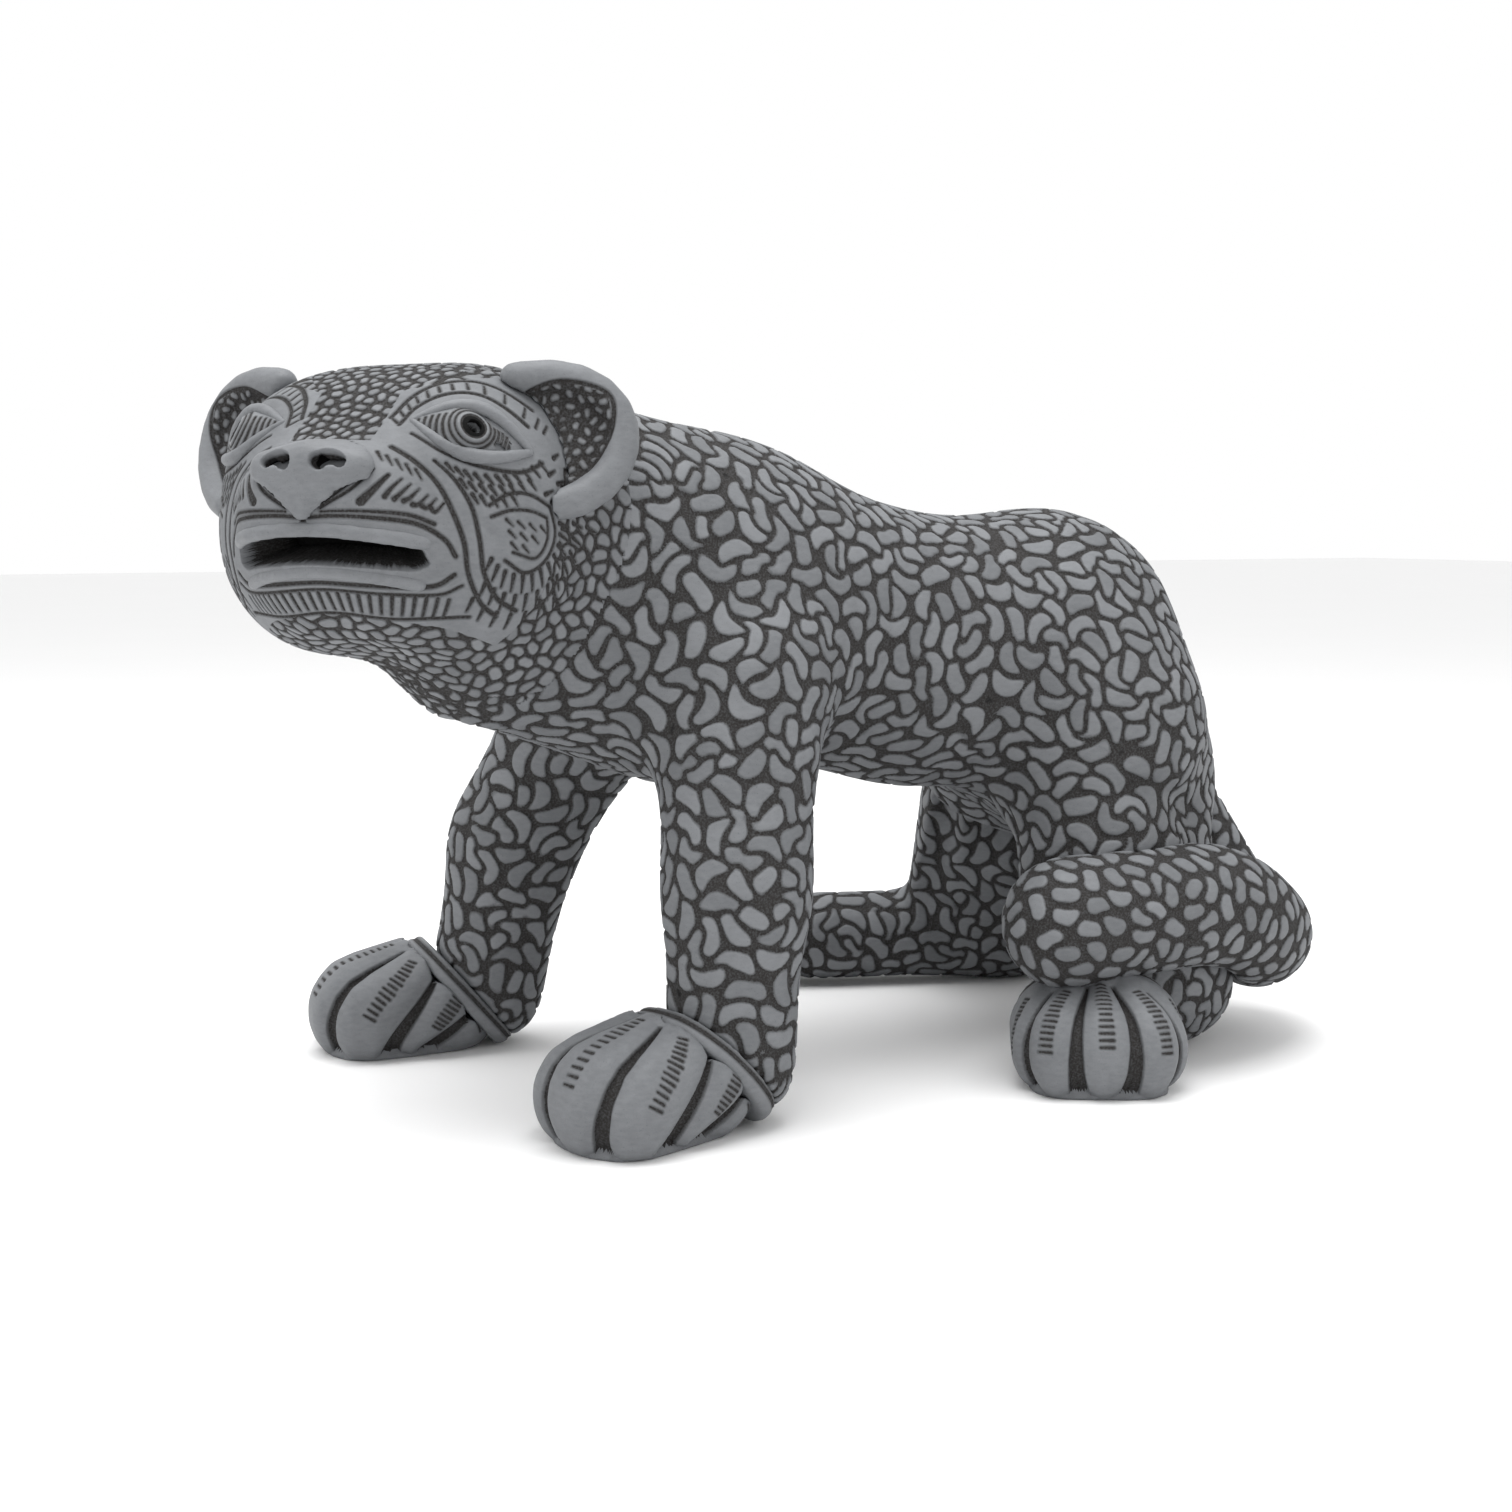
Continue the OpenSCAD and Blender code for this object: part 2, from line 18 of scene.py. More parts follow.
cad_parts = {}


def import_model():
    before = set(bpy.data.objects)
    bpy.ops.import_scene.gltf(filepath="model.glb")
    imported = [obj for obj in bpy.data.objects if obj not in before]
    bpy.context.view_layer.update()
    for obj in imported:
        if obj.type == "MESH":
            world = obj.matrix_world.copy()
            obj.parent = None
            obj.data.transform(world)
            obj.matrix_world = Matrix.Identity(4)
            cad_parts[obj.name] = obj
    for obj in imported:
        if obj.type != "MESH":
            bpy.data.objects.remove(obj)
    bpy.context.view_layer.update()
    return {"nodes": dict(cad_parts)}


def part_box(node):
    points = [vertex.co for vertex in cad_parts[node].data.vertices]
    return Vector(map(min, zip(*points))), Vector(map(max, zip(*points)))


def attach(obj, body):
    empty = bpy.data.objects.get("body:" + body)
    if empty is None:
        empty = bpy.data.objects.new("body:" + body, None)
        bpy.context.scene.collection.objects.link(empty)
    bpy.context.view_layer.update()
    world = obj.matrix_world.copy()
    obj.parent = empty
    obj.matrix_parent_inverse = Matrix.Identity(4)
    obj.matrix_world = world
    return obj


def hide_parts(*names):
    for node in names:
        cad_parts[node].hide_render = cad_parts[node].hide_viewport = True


log = logging.getLogger("figure")
MM = 0.001
MM_PER_DEGREE = 0.55  # on the face, seen from the middle of the head
FAR = 9.0  # a slip value, in millimetres, that is clear of every scratch


class Side(Enum):
    """Side of the animal, as the sign of its own left axis."""

    LEFT = 1
    RIGHT = -1


# ---- Shader expressions ----


class Graph:
    """Node tree of one material."""

    def __init__(self, name: str) -> None:
        """Starts an empty material.

        Args:
            name: Name of the material.
        """
        self.material = bpy.data.materials.new(name)
        self.material.use_nodes = True
        self.tree = self.material.node_tree
        self.tree.nodes.clear()

    def node(
        self, kind: str, settings: dict | None = None, inputs: dict | None = None
    ) -> bpy.types.Node:
        """Adds one node.

        Args:
            kind: Blender's type name of the node.
            settings: Its own settings by name.
            inputs: Values or Signals by socket name or number.

        Returns:
            The node.
        """
        made = self.tree.nodes.new(kind)
        for key, value in (settings or {}).items():
            setattr(made, key, value)
        for key, value in (inputs or {}).items():
            self.feed(made.inputs[key], value)
        return made

    def feed(self, socket: bpy.types.NodeSocket, value: object) -> None:
        """Links a Signal to a socket, or sets the socket's own value."""
        if isinstance(value, Signal):
            self.tree.links.new(value.socket, socket)
        else:
            socket.default_value = value

    def attribute(self, name: str) -> Signal:
        """A number stored on the mesh."""
        made = self.node("ShaderNodeAttribute", {"attribute_name": name})
        return Signal(self, made.outputs["Fac"])

    def noise(self, scale: float, detail: float, stretch: Sequence[float] = (1, 1, 1)) -> Signal:
        """Noise in the object's own space.

        Args:
            scale: Waves per metre.
            detail: Octaves.
            stretch: Factor on each axis.

        Returns:
            A signal from 0 to 1.
        """
        place = self.node("ShaderNodeTexCoord").outputs["Object"]
        scaled = self.node(
            "ShaderNodeVectorMath", {"operation": "MULTIPLY"}, {0: Signal(self, place), 1: tuple(stretch)}
        )
        vector = Signal(self, scaled.outputs[0])
        made = self.node("ShaderNodeTexNoise", {}, {"Vector": vector, "Scale": scale, "Detail": detail})
        return Signal(self, made.outputs["Fac"])

    def mix(self, share: Signal, low: object, high: object) -> Signal:
        """Colour between two colours or Signals."""
        made = self.node("ShaderNodeMix", {"data_type": "RGBA"}, {0: share, 6: low, 7: high})
        return Signal(self, made.outputs[2])


class Signal:
    """A shader socket that takes part in Python expressions."""

    def __init__(self, graph: Graph, socket: bpy.types.NodeSocket) -> None:
        """Wraps an output socket of the graph."""
        self.graph = graph
        self.socket = socket

    def math(self, operation: str, *values: object, clamp: bool = False) -> Signal:
        """One Math node on the given values.

        Args:
            operation: Blender's name of the operation.
            values: Numbers or Signals, in order.
            clamp: True to keep the result from 0 to 1.

        Returns:
            The result.
        """
        made = self.graph.node(
            "ShaderNodeMath", {"operation": operation, "use_clamp": clamp}, dict(enumerate(values))
        )
        return Signal(self.graph, made.outputs[0])

    def __add__(self, other: object) -> Signal:
        """Sum."""
        return self.math("ADD", self, other)

    def __sub__(self, other: object) -> Signal:
        """Difference."""
        return self.math("SUBTRACT", self, other)

    def __rsub__(self, other: object) -> Signal:
        """Difference from a number."""
        return self.math("SUBTRACT", other, self)

    def __mul__(self, other: object) -> Signal:
        """Product."""
        return self.math("MULTIPLY", self, other)

    __radd__ = __add__
    __rmul__ = __mul__

    def ramp(self, low: float, high: float) -> Signal:
        """Smooth step from 0 at low to 1 at high."""
        made = self.graph.node(
            "ShaderNodeMapRange",
            {"interpolation_type": "SMOOTHSTEP"},
            {"Value": self, "From Min": low, "From Max": high},
        )
        return Signal(self.graph, made.outputs["Result"])


Colour = tuple[float, float, float, float]


@dataclass(frozen=True)
class Finish:
    """Slip over clay: the slip shows where the mesh's "slip" number is above zero; far below zero the colour
    turns to a painted near-black shade.
    """

    name: str
    slip: Colour = (0.118, 0.123, 0.130, 1)
    pale: Colour = (0.186, 0.193, 0.203, 1)
    clay: Colour = (0.023, 0.021, 0.020, 1)
    # Painted shade: near-black colour for the insides of the mouth slot, the pupils and the nostrils, and the
    # middles of wide paw grooves.
    hole_shade: Colour = (0.0008, 0.0008, 0.0008, 1)
    ragged: float = 0.16  # millimetres that a scratch's edge wanders by
    edge: float = 0.05
    sheen: float = 0.62

    def material(self) -> bpy.types.Material:
        """Builds the material.

        Returns:
            The new material.
        """
        g = Graph(self.name)
        grain = g.noise(2600, 3)
        cloud = g.noise(85, 3)
        wipe = g.noise(520, 3, (1, 1, 2.6))
        speck = g.noise(5200, 2)
        slip = g.attribute("slip") + (grain - 0.5) * (2 * self.ragged)
        coated = slip.ramp(-self.edge, self.edge)
        tone = g.attribute("tone") * 0.45 + wipe * 0.55 + (cloud - 0.5) * 0.5
        slip_colour = g.mix(tone.ramp(0.05, 0.95), self.slip, self.pale)
        pitted = g.mix(speck.ramp(0.62, 0.74) * 0.45, slip_colour, self.clay)
        worn = g.mix(slip.ramp(0.0, 0.45), g.mix(cloud, self.slip, self.clay), pitted)
        clay_colour = g.mix(grain.ramp(0.35, 0.8) * 0.35, self.clay, self.slip)
        # Painted shade: where the slip value is far below zero, in deep pockets, the colour turns near-black.
        colour = g.mix(slip.ramp(-2.4, -1.2), self.hole_shade, g.mix(coated, clay_colour, worn))
        rough = coated * (self.sheen - 0.88) + 0.88 + (wipe - 0.5) * 0.12
        height = grain * 0.35 + speck * 0.2 + wipe * 0.3 - (1 - coated) * (g.noise(1500, 4) * 1.6)
        bump = g.node("ShaderNodeBump", {}, {"Strength": 0.35, "Distance": 0.00022, "Height": height})
        surface = g.node(
            "ShaderNodeBsdfPrincipled",
            {},
            {
                "Base Color": colour,
                "Roughness": rough,
                "Normal": Signal(g, bump.outputs[0]),
                "Specular IOR Level": 0.2,
            },
        )
        g.node("ShaderNodeOutputMaterial", {}, {"Surface": Signal(g, surface.outputs[0])})
        return g.material


@dataclass(frozen=True)
class FloorFinish:
    """Plain pale studio floor."""

    name: str = "pale_floor"
    colour: Colour = (0.9, 0.9, 0.9, 1)

    def material(self) -> bpy.types.Material:
        """Builds the material.

        Returns:
            The new material.
        """
        g = Graph(self.name)
        veil = g.mix(g.noise(9, 3), self.colour, tuple(0.985 * c for c in self.colour[:3]) + (1,))
        surface = g.node("ShaderNodeBsdfPrincipled", {}, {"Base Color": veil, "Roughness": 0.75})
        g.node("ShaderNodeOutputMaterial", {}, {"Surface": Signal(g, surface.outputs[0])})
        return g.material


# ---- Shapes as arrays ----


def unit(rows: np.ndarray) -> np.ndarray:
    """Each row at length 1."""
    return rows / np.maximum(np.linalg.norm(rows, axis=1, keepdims=True), 1e-20)


def around(values: np.ndarray, ends: np.ndarray) -> np.ndarray:
    """Mean of each point's neighbours, for the two rows of point numbers that edges() gives."""
    a, b = ends
    count = len(values)
    total = np.bincount(a, values[b], count) + np.bincount(b, values[a], count)
    return total / (np.bincount(a, minlength=count) + np.bincount(b, minlength=count))


@dataclass
class Shape:
    """Mesh as arrays: points in metres, and faces that all have the same number of corners."""

    points: np.ndarray
    faces: np.ndarray

    def edges(self) -> np.ndarray:
        """Every edge once, as pairs of point numbers."""
        corners = self.faces.shape[1]
        sides = np.concatenate([self.faces[:, [i, (i + 1) % corners]] for i in range(corners)])
        return np.unique(np.sort(sides, axis=1), axis=0)

    def normals(self) -> np.ndarray:
        """Unit normal at each point, weighted by face area."""
        corners = self.points[self.faces]
        across = np.cross(corners[:, 2] - corners[:, 0], corners[:, -1] - corners[:, 1])
        total = np.zeros_like(self.points)
        for corner in range(self.faces.shape[1]):
            for axis in range(3):
                total[:, axis] += np.bincount(self.faces[:, corner], across[:, axis], len(self.points))
        return unit(total)

    def sink(self, depth: np.ndarray | float) -> None:
        """Moves each point in along its normal, by a depth in metres, and none below the floor."""
        self.points = self.points - self.normals() * np.reshape(depth, (-1, 1))
        self.points[:, 2] = np.maximum(self.points[:, 2], 0)

    def keep(self, faces: np.ndarray) -> tuple[Shape, np.ndarray]:
        """Part of the shape.

        Args:
            faces: True for each face to keep.

        Returns:
            The part, and for each of its points the number it had before.
        """
        chosen = self.faces[faces]
        used, inverse = np.unique(chosen, return_inverse=True)
        return Shape(self.points[used], inverse.reshape(chosen.shape)), used

    def largest(self) -> Shape:
        """The connected part with the largest number of points."""
        label = np.arange(len(self.points))
        a, b = self.edges().T
        while True:
            low = np.minimum(label[a], label[b])
            new = label.copy()
            np.minimum.at(new, label[a], low)
            np.minimum.at(new, label[b], low)
            new = new[new]
            if (new == label).all():
                break
            label = new
        biggest = np.bincount(label).argmax()
        return self.keep(label[self.faces[:, 0]] == biggest)[0]

    def split(self) -> Shape:
        """The same surface with each four-sided face cut in four.

        Returns:
            The finer shape, with the new points on the middles of the old edges and faces.
        """
        edges = self.edges()
        count = len(self.points)
        key = edges[:, 0].astype(np.int64) * count + edges[:, 1]
        mids = []
        for i in range(4):
            pair = np.sort(self.faces[:, [i, (i + 1) % 4]], axis=1)
            mids.append(count + np.searchsorted(key, pair[:, 0].astype(np.int64) * count + pair[:, 1]))
        centre = count + len(edges) + np.arange(len(self.faces))
        points = np.concatenate([self.points, self.points[edges].mean(1), self.points[self.faces].mean(1)])
        faces = [np.stack([self.faces[:, i], mids[i], centre, mids[i - 1]], 1) for i in range(4)]
        return Shape(points, np.concatenate(faces))

    def relaxed(self, rounds: int, share: float = 0.5) -> Shape:
        """The shape with each point drawn towards its neighbours.

        Args:
            rounds: How many times.
            share: How far each time, from 0 to 1.

        Returns:
            The smoother shape.
        """
        ends = self.edges().T
        points = self.points.copy()
        for _ in range(rounds):
            for axis in range(3):
                x = points[:, axis]
                points[:, axis] = x + share * (around(x, ends) - x)
        return Shape(points, self.faces)


def cad_shape(node: bpy.types.Object) -> Shape:
    """A CAD node's triangles, with the points that lie on one another joined."""
    mesh = node.data
    mesh.calc_loop_triangles()
    points = np.zeros(len(mesh.vertices) * 3)
    mesh.vertices.foreach_get("co", points)
    corners = np.zeros(len(mesh.loop_triangles) * 3, np.int32)
    mesh.loop_triangles.foreach_get("vertices", corners)
    rounded = np.round(points.reshape(-1, 3), 7)
    unique, inverse = np.unique(rounded, axis=0, return_inverse=True)
    faces = inverse.ravel()[corners].reshape(-1, 3)
    whole = (faces[:, 0] != faces[:, 1]) & (faces[:, 1] != faces[:, 2]) & (faces[:, 0] != faces[:, 2])
    return Shape(unique, faces[whole])


def to_mesh(name: str, shape: Shape, numbers: dict[str, np.ndarray] | None = None) -> bpy.types.Mesh:
    """Makes a Blender mesh from a shape.

    Args:
        name: Name of the mesh.
        shape: Points and faces.
        numbers: Values for each point, by attribute name.

    Returns:
        The mesh.
    """
    sides = shape.faces.shape[1]
    mesh = bpy.data.meshes.new(name)
    mesh.vertices.add(len(shape.points))
    mesh.vertices.foreach_set("co", shape.points.astype(np.float32).ravel())
    mesh.loops.add(shape.faces.size)
    mesh.loops.foreach_set("vertex_index", shape.faces.astype(np.int32).ravel())
    mesh.polygons.add(len(shape.faces))
    mesh.polygons.foreach_set("loop_start", np.arange(len(shape.faces), dtype=np.int32) * sides)
    mesh.update(calc_edges=True)
    for key, values in (numbers or {}).items():
        layer = mesh.attributes.new(key, "FLOAT", "POINT")
        layer.data.foreach_set("value", np.asarray(values, np.float32))
    mesh.shade_smooth()
    return mesh


def linked(name: str, data: bpy.types.ID) -> bpy.types.Object:
    """A new object in the scene."""
    made = bpy.data.objects.new(name, data)
    bpy.context.scene.collection.objects.link(made)
    return made


def from_mesh(mesh: bpy.types.Mesh) -> Shape:
    """Reads back a mesh whose faces all have four corners."""
    points = np.zeros(len(mesh.vertices) * 3)
    mesh.vertices.foreach_get("co", points)
    corners = np.zeros(len(mesh.loops), np.int32)
    mesh.loops.foreach_get("vertex_index", corners)
    return Shape(points.reshape(-1, 3), corners.reshape(-1, 4))


def joined(shapes: Sequence[Shape]) -> Shape:
    """Several shapes as one."""
    starts = np.cumsum([0] + [len(shape.points) for shape in shapes])
    faces = [shape.faces + start for shape, start in zip(shapes, starts)]
    return Shape(np.concatenate([shape.points for shape in shapes]), np.concatenate(faces))


def remeshed(shapes: Sequence[Shape], voxel: float, smoothing: int, swell: float = 0.0) -> Shape:
    """One even, smooth skin round several overlapping shapes.

    Args:
        shapes: Closed shapes.
        voxel: Edge length of the first mesh, in metres.
        smoothing: Rounds of smoothing.
        swell: How far the shapes are grown before they are joined, and shrunk after.

    Returns:
        The skin.
    """
    grown = [Shape(shape.points + shape.normals() * swell, shape.faces) for shape in shapes]
    mesh = to_mesh("blank", joined(grown))
    blank = linked("blank", mesh)
    remesh = blank.modifiers.new("remesh", "REMESH")
    remesh.mode = "VOXEL"
    remesh.voxel_size = voxel
    smooth = blank.modifiers.new("smooth", "SMOOTH")
    smooth.iterations = smoothing
    smooth.factor = 0.5
    divide = blank.modifiers.new("divide", "SUBSURF")
    divide.levels = divide.render_levels = 1
    evaluated = blank.evaluated_get(bpy.context.evaluated_depsgraph_get())
    skin = from_mesh(evaluated.to_mesh()).largest()
    evaluated.to_mesh_clear()
    bpy.data.objects.remove(blank)
    bpy.data.meshes.remove(mesh)
    if swell:
        skin.points = skin.points - skin.normals() * swell
    return skin


def tree_of(shape: Shape) -> BVHTree:
    """Search tree of a shape's faces."""
    return BVHTree.FromPolygons(shape.points.tolist(), shape.faces.tolist())


def struck(tree: BVHTree, starts: np.ndarray, rays: np.ndarray) -> np.ndarray:
    """Where rays of up to 60 mm meet a surface.

    Args:
        tree: The surface.
        starts: Where each ray starts, in metres.
        rays: Unit direction of all of them, or one row for each.

    Returns:
        The points that were met, fewer than the rays where some miss.
    """
    pairs = zip(starts, np.broadcast_to(rays, starts.shape))
    hits = [tree.ray_cast(Vector(start), Vector(ray), 0.06)[0] for start, ray in pairs]
    return np.array([hit for hit in hits if hit is not None])


def nearest(points: np.ndarray, targets: np.ndarray, count: int) -> tuple[np.ndarray, np.ndarray]:
    """The closest targets to each point.

    Args:
        points: Where to look from.
        targets: Where to look.
        count: How many targets for each point.

    Returns:
        Target numbers and distances, one row for each point, nearest first.
    """
    tree = KDTree(len(targets))
    for i, target in enumerate(targets.tolist()):
        tree.insert(target, i)
    tree.balance()
    found = [tree.find_n(p, count) for p in points.tolist()]
    index = np.array([[f[1] for f in row] for row in found])
    distance = np.array([[f[2] for f in row] for row in found])
    return index, distance


def soft_min(a: np.ndarray, b: np.ndarray, width: float) -> np.ndarray:
    """The smaller of two values, rounded where they are close."""
    blend = np.maximum(width - np.abs(a - b), 0) / width
    return np.minimum(a, b) - blend * blend * width / 4


def step(values: np.ndarray, low: float, high: float) -> np.ndarray:
    """Smooth step from 0 at low to 1 at high."""
    t = np.clip((values - low) / (high - low), 0, 1)
    return t * t * (3 - 2 * t)


# ---- Scratched patterns ----


@dataclass
class Beans:
    """Cells that fit into one another like kidney beans, with scratched gaps between them."""

    spacing: float = 4.35  # millimetres between the middles
    half_width: float = 2.0
    gap: float = 0.72
    bend: float = 0.135
    longest: float = 2.3  # half length of a bean's middle line
    rounds: int = 5
    seed: int = 7

    def middles(self, points: np.ndarray, rng: np.random.Generator, spacing: np.ndarray) -> np.ndarray:
        """Numbers of points that lie at least the spacing apart.

        Args:
            points: Candidates, in millimetres.
            rng: Source of the random order.
            spacing: Least distance at each candidate.

        Returns:
            The chosen candidates.
        """
        cell = float(spacing.max())
        grid: dict[tuple[int, int, int], list[int]] = {}
        keys = np.floor(points / cell).astype(int)
        chosen: list[int] = []
        for i in rng.permutation(len(points)):
            x, y, z = keys[i]
            close = [
                j
                for dx in (-1, 0, 1)
                for dy in (-1, 0, 1)
                for dz in (-1, 0, 1)
                for j in grid.get((x + dx, y + dy, z + dz), ())
            ]
            if close and (np.linalg.norm(points[close] - points[i], axis=1) < spacing[i]).any():
                continue
            chosen.append(int(i))
            grid.setdefault((x, y, z), []).append(int(i))
        return np.array(chosen)

    def measure(
        self, points: np.ndarray, centre: np.ndarray, along: np.ndarray, normal: np.ndarray, half: np.ndarray,
        bend: np.ndarray, index: np.ndarray
    ) -> np.ndarray:
        """Distance from each point to the bent middle lines of its candidate beans."""
        offset = points[:, None] - centre[index]
        u = (offset * along[index]).sum(-1)
        w = (offset * normal[index]).sum(-1)
        v = (offset * np.cross(normal, along)[index]).sum(-1)
        v = v - bend[index] * (u * u - half[index] ** 2 / 2)
        end = np.maximum(np.abs(u) - half[index], 0)
        return np.sqrt(end**2 + v**2 + 0.35 * w**2)

    def slip(self, shape: Shape, scale: np.ndarray | None = None) -> tuple[np.ndarray, np.ndarray]:
        """The pattern on a shape.

        Args:
            shape: The skin.
            scale: Size of the beans at each point, 1 for full size.

        Returns:
            Slip value in millimetres at each point, above zero on a bean, and each bean's own random tone.
        """
        rng = np.random.default_rng(self.seed)
        points = shape.points / MM
        normals = shape.normals()
        scale = np.ones(len(points)) if scale is None else scale
        sample = rng.permutation(len(points))[: max(2000, len(points) // 6)]
        chosen = sample[self.middles(points[sample], rng, self.spacing * scale[sample])]
        centre, normal = points[chosen], normals[chosen]
        size = scale[chosen]
        along = unit(np.cross(normal, rng.normal(size=centre.shape)))
        half = rng.uniform(0.5, 1.0, len(centre)) * self.longest * size
        bend = rng.choice([-1, 1], len(centre)) * rng.uniform(0.3, 1.3, len(centre)) * self.bend / size
        for _ in range(self.rounds):
            index, _ = nearest(points[sample], centre, 6)
            far = self.measure(points[sample], centre, along, normal, half, bend, index)
            own = index[np.arange(len(sample)), far.argmin(1)]
            total = np.maximum(np.bincount(own, minlength=len(centre)), 1)
            mean = np.stack([np.bincount(own, points[sample][:, k], len(centre)) for k in range(3)], 1)
            centre = np.where(total[:, None] > 3, mean / total[:, None], centre)
            offset = points[sample] - centre[own]
            across = np.cross(normal, along)
            u, v = (offset * along[own]).sum(1), (offset * across[own]).sum(1)
            uu, vv, uv = (np.bincount(own, m, len(centre)) / total for m in (u * u, v * v, u * v))
            turn = 0.5 * np.arctan2(2 * uv, uu - vv)
            along = along * np.cos(turn)[:, None] + across * np.sin(turn)[:, None]
            spread = np.sqrt(np.maximum((uu + vv) / 2 + np.hypot((uu - vv) / 2, uv), 0.01))
            half = np.clip(1.75 * spread - 0.62 * self.half_width * size, 0.3 * size, self.longest * size)
        index, _ = nearest(points, centre, 7)
        far = self.measure(points, centre, along, normal, half, bend, index)
        order = np.argsort(far, axis=1)
        first = np.take_along_axis(far, order[:, :1], 1)[:, 0]
        second = np.take_along_axis(far, order[:, 1:2], 1)[:, 0]
        own = index[np.arange(len(points)), order[:, 0]]
        between = (second - first) / 2 - self.gap * size[own] ** 0.5 / 2
        slip = soft_min(self.half_width * size[own] - first, between, 0.95)
        return slip, rng.uniform(0, 1, len(centre))[own]


@dataclass
class Scratches:
    """Lines drawn on a skin with a scratching tool."""

    places: list[np.ndarray] = field(default_factory=list)
    widths: list[np.ndarray] = field(default_factory=list)
    depths: list[np.ndarray] = field(default_factory=list)

    def line(self, points: np.ndarray, start: float, end: float | None = None, depth: float = 0.35) -> None:
        """Adds one line.

        Args:
            points: Points close together along it, in metres.
            start: Width at its start, in millimetres.
            end: Width at its end, the same as at its start if None.
            depth: Depth in millimetres.
        """
        t = np.linspace(0, 1, len(points))
        self.places.append(points)
        self.widths.append(start + ((start if end is None else end) - start) * t)
        self.depths.append(np.full(len(points), depth))

    def slip(self, points: np.ndarray) -> tuple[np.ndarray, np.ndarray]:
        """Slip value in millimetres at each point, below zero in a scratch, and the nearest one's depth."""
        if not self.places:
            return np.full(len(points), FAR), np.zeros(len(points))
        places, widths = np.concatenate(self.places), np.concatenate(self.widths)
        index, distance = nearest(points, places, 3)
        value = distance / MM - widths[index] / 2
        best = value.argmin(1)
        rows = np.arange(len(points))
        return value[rows, best], np.concatenate(self.depths)[index[rows, best]]


def curve(controls: Sequence[Sequence[float]], count: int) -> np.ndarray:
    """Smooth curve through control points.

    Args:
        controls: Two or more points with any number of coordinates.
        count: Number of points on the curve.

    Returns:
        Points along it.
    """
    p = np.asarray(controls, float)
    if len(p) == 2:
        t = np.linspace(0, 1, count)[:, None]
        return p[0] * (1 - t) + p[1] * t
    p = np.concatenate([[2 * p[0] - p[1]], p, [2 * p[-1] - p[-2]]])
    x = np.linspace(0, len(p) - 3 - 1e-9, count)
    i = x.astype(int)
    t = (x - i)[:, None]
    a, b, c, d = p[i], p[i + 1], p[i + 2], p[i + 3]
    return 0.5 * (2 * b + (c - a) * t + (2 * a - 5 * b + 4 * c - d) * t**2 + (3 * b - a - 3 * c + d) * t**3)


# ---- Pieces ----


@dataclass
class Figure:
    """What every piece is built from: the loaded nodes and the finishes."""

    nodes: dict[str, bpy.types.Object]
    materials: dict[str, bpy.types.Material]
    total: int = 0

    def shape(self, node: str) -> Shape:
        """A CAD node's outside."""
        return cad_shape(self.nodes[node])

    def add(
        self, node: str, kind: str, shape: Shape, finish: str, slip: np.ndarray, tone: np.ndarray | float,
        cap: bool = False
    ) -> None:
        """Adds the visible piece that stands for one CAD node.

        Args:
            node: The CAD node.
            kind: What the piece is, for the end of its name.
            shape: Its mesh.
            finish: Name of its finish and of its slot in the record.
            slip: Slip value in millimetres at each point.
            tone: Shade of the slip at each point, from 0 to 1.
            cap: True to close its open edges.
        """
        name = f"{node}_{kind}"
        mesh = to_mesh(name, shape, {"slip": slip, "tone": np.broadcast_to(tone, slip.shape)})
        if cap:
            close_edges(mesh)
        piece = linked(name, mesh)
        piece.data.materials.append(self.materials[finish])
        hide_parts(node)
        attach(piece, "root")
        self.total += len(shape.faces)
        log.info("%s: %d faces", name, len(shape.faces))


def close_edges(mesh: bpy.types.Mesh) -> None:
    """Closes each open edge loop of a mesh with a fan of flat faces that meet at its middle."""
    bm = bmesh.new()
    bm.from_mesh(mesh)
    bm.edges.ensure_lookup_table()
    border = {e for e in bm.edges if e.is_boundary}
    while border:
        loop, queue = [], [border.pop()]
        while queue:
            edge = queue.pop()
            loop.append(edge)
            for vert in edge.verts:
                for other in vert.link_edges:
                    if other in border:
                        border.remove(other)
                        queue.append(other)
        verts = {v for e in loop for v in e.verts}
        middle = bm.verts.new(sum((v.co for v in verts), Vector()) / len(verts))
        for edge in loop:
            face = edge.link_loops[0]
            bm.faces.new((face.link_loop_next.vert, face.vert, middle)).smooth = False
            edge.smooth = False
    bm.to_mesh(mesh)
    bm.free()


